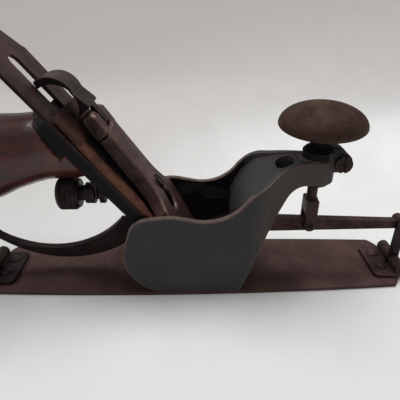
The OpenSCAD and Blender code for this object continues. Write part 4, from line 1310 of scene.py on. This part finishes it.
@dataclass
class Studio:
    """Paper backdrop, lamps and the camera at the photograph's angle."""

    eye: tuple[float, float, float] = (-3.2, -208.2, 164.4)
    pitch: float = 28.98
    yaw: float = 1.61
    lens: float = 36.0
    sensor: float = 36.0
    wall_y: float = 0.55
    bend_r: float = 0.55
    wall_top: float = 2.4
    sunk: float = 0.0002

    def backdrop(self) -> None:
        """Lay the paper: flat floor, wide bend and wall."""
        bm = bmesh.new()
        row: list[tuple[float, float]] = [(-1.6, 0.0), (-0.8, 0.0), (0.0, 0.0), (self.wall_y, 0.0)]
        for i in range(1, 17):
            a = math.pi / 2 * i / 16
            row.append((self.wall_y + self.bend_r * math.sin(a), self.bend_r - self.bend_r * math.cos(a)))
        row.append((self.wall_y + self.bend_r, self.wall_top))
        cols = [[bm.verts.new((x, y, z - self.sunk)) for x in (-2.6, -1.0, 0.0, 1.0, 2.6)] for y, z in row]
        for a, b in zip(cols, cols[1:]):
            for i in range(4):
                bm.faces.new((a[i], a[i + 1], b[i + 1], b[i]))
        obj = Workshop.to_object(bm, "paper_backdrop", Backdrop().build(), 60.0)

    @staticmethod
    def lamp(name: str, place: Sequence[float], aim: Sequence[float], size: float, watts: float) -> None:
        """Hang one soft area lamp.

        Args:
            name: Name of the lamp.
            place: Where it hangs, in metres.
            aim: What it points at.
            size: Side of the lamp.
            watts: Power.
        """
        data = bpy.data.lights.new(name, "AREA")
        data.shape = "SQUARE"
        data.size = size
        data.energy = watts
        obj = bpy.data.objects.new(name, data)
        obj.location = place
        obj.rotation_euler = (Vector(aim) - Vector(place)).to_track_quat("-Z", "Y").to_euler()
        bpy.context.scene.collection.objects.link(obj)

    def lights(self) -> None:
        """Set the world's fill light and the lamps."""
        world = bpy.data.worlds.new("soft_room")
        world.use_nodes = True
        world.node_tree.nodes["Background"].inputs["Color"].default_value = (0.93, 0.96, 1.0, 1.0)
        world.node_tree.nodes["Background"].inputs["Strength"].default_value = 0.37
        bpy.context.scene.world = world
        self.lamp("ceiling", (0.1, 0.35, 1.5), (0.0, 0.0, 0.05), 1.1, 17.0)
        self.lamp("window", (-1.3, 0.2, 1.1), (-0.05, 0.0, 0.06), 0.6, 6.0)

    def camera(self) -> None:
        """Place the camera where the photograph was taken from, level and looking down at the plane."""
        p, w = math.radians(self.pitch), math.radians(self.yaw)
        ahead = Vector((math.sin(w) * math.cos(p), math.cos(w) * math.cos(p), -math.sin(p)))
        right = Vector((math.cos(w), -math.sin(w), 0.0))
        up = right.cross(ahead)
        data = bpy.data.cameras.new("camera")
        data.sensor_width = self.sensor
        data.lens = self.lens
        data.clip_start = 0.01
        obj = bpy.data.objects.new("camera", data)
        turn = Matrix((right, up, -ahead)).transposed().to_4x4()
        obj.matrix_world = Matrix.Translation(Vector(self.eye) * MM) @ turn
        bpy.context.scene.collection.objects.link(obj)
        bpy.context.scene.camera = obj

    def build(self) -> None:
        """Set up the whole studio."""
        self.backdrop()
        self.lights()
        self.camera()
        bpy.context.scene.view_settings.view_transform = "Standard"


def main() -> None:
    """Set up the studio, then build the plane's pieces in order."""
    logging.basicConfig(level=logging.INFO, format="%(name)s: %(message)s")
    finishes = Finishes()
    Studio().build()
    for group in (CastBody, FlexibleSole, LeverTrain, AdjustingKnob,
                  CuttingIron, CapGroup, DepthAdjuster, RearHandle):
        group(finishes).build()
        LOG.info("built %s", group.__name__)


if __name__ == "__main__":
    main()
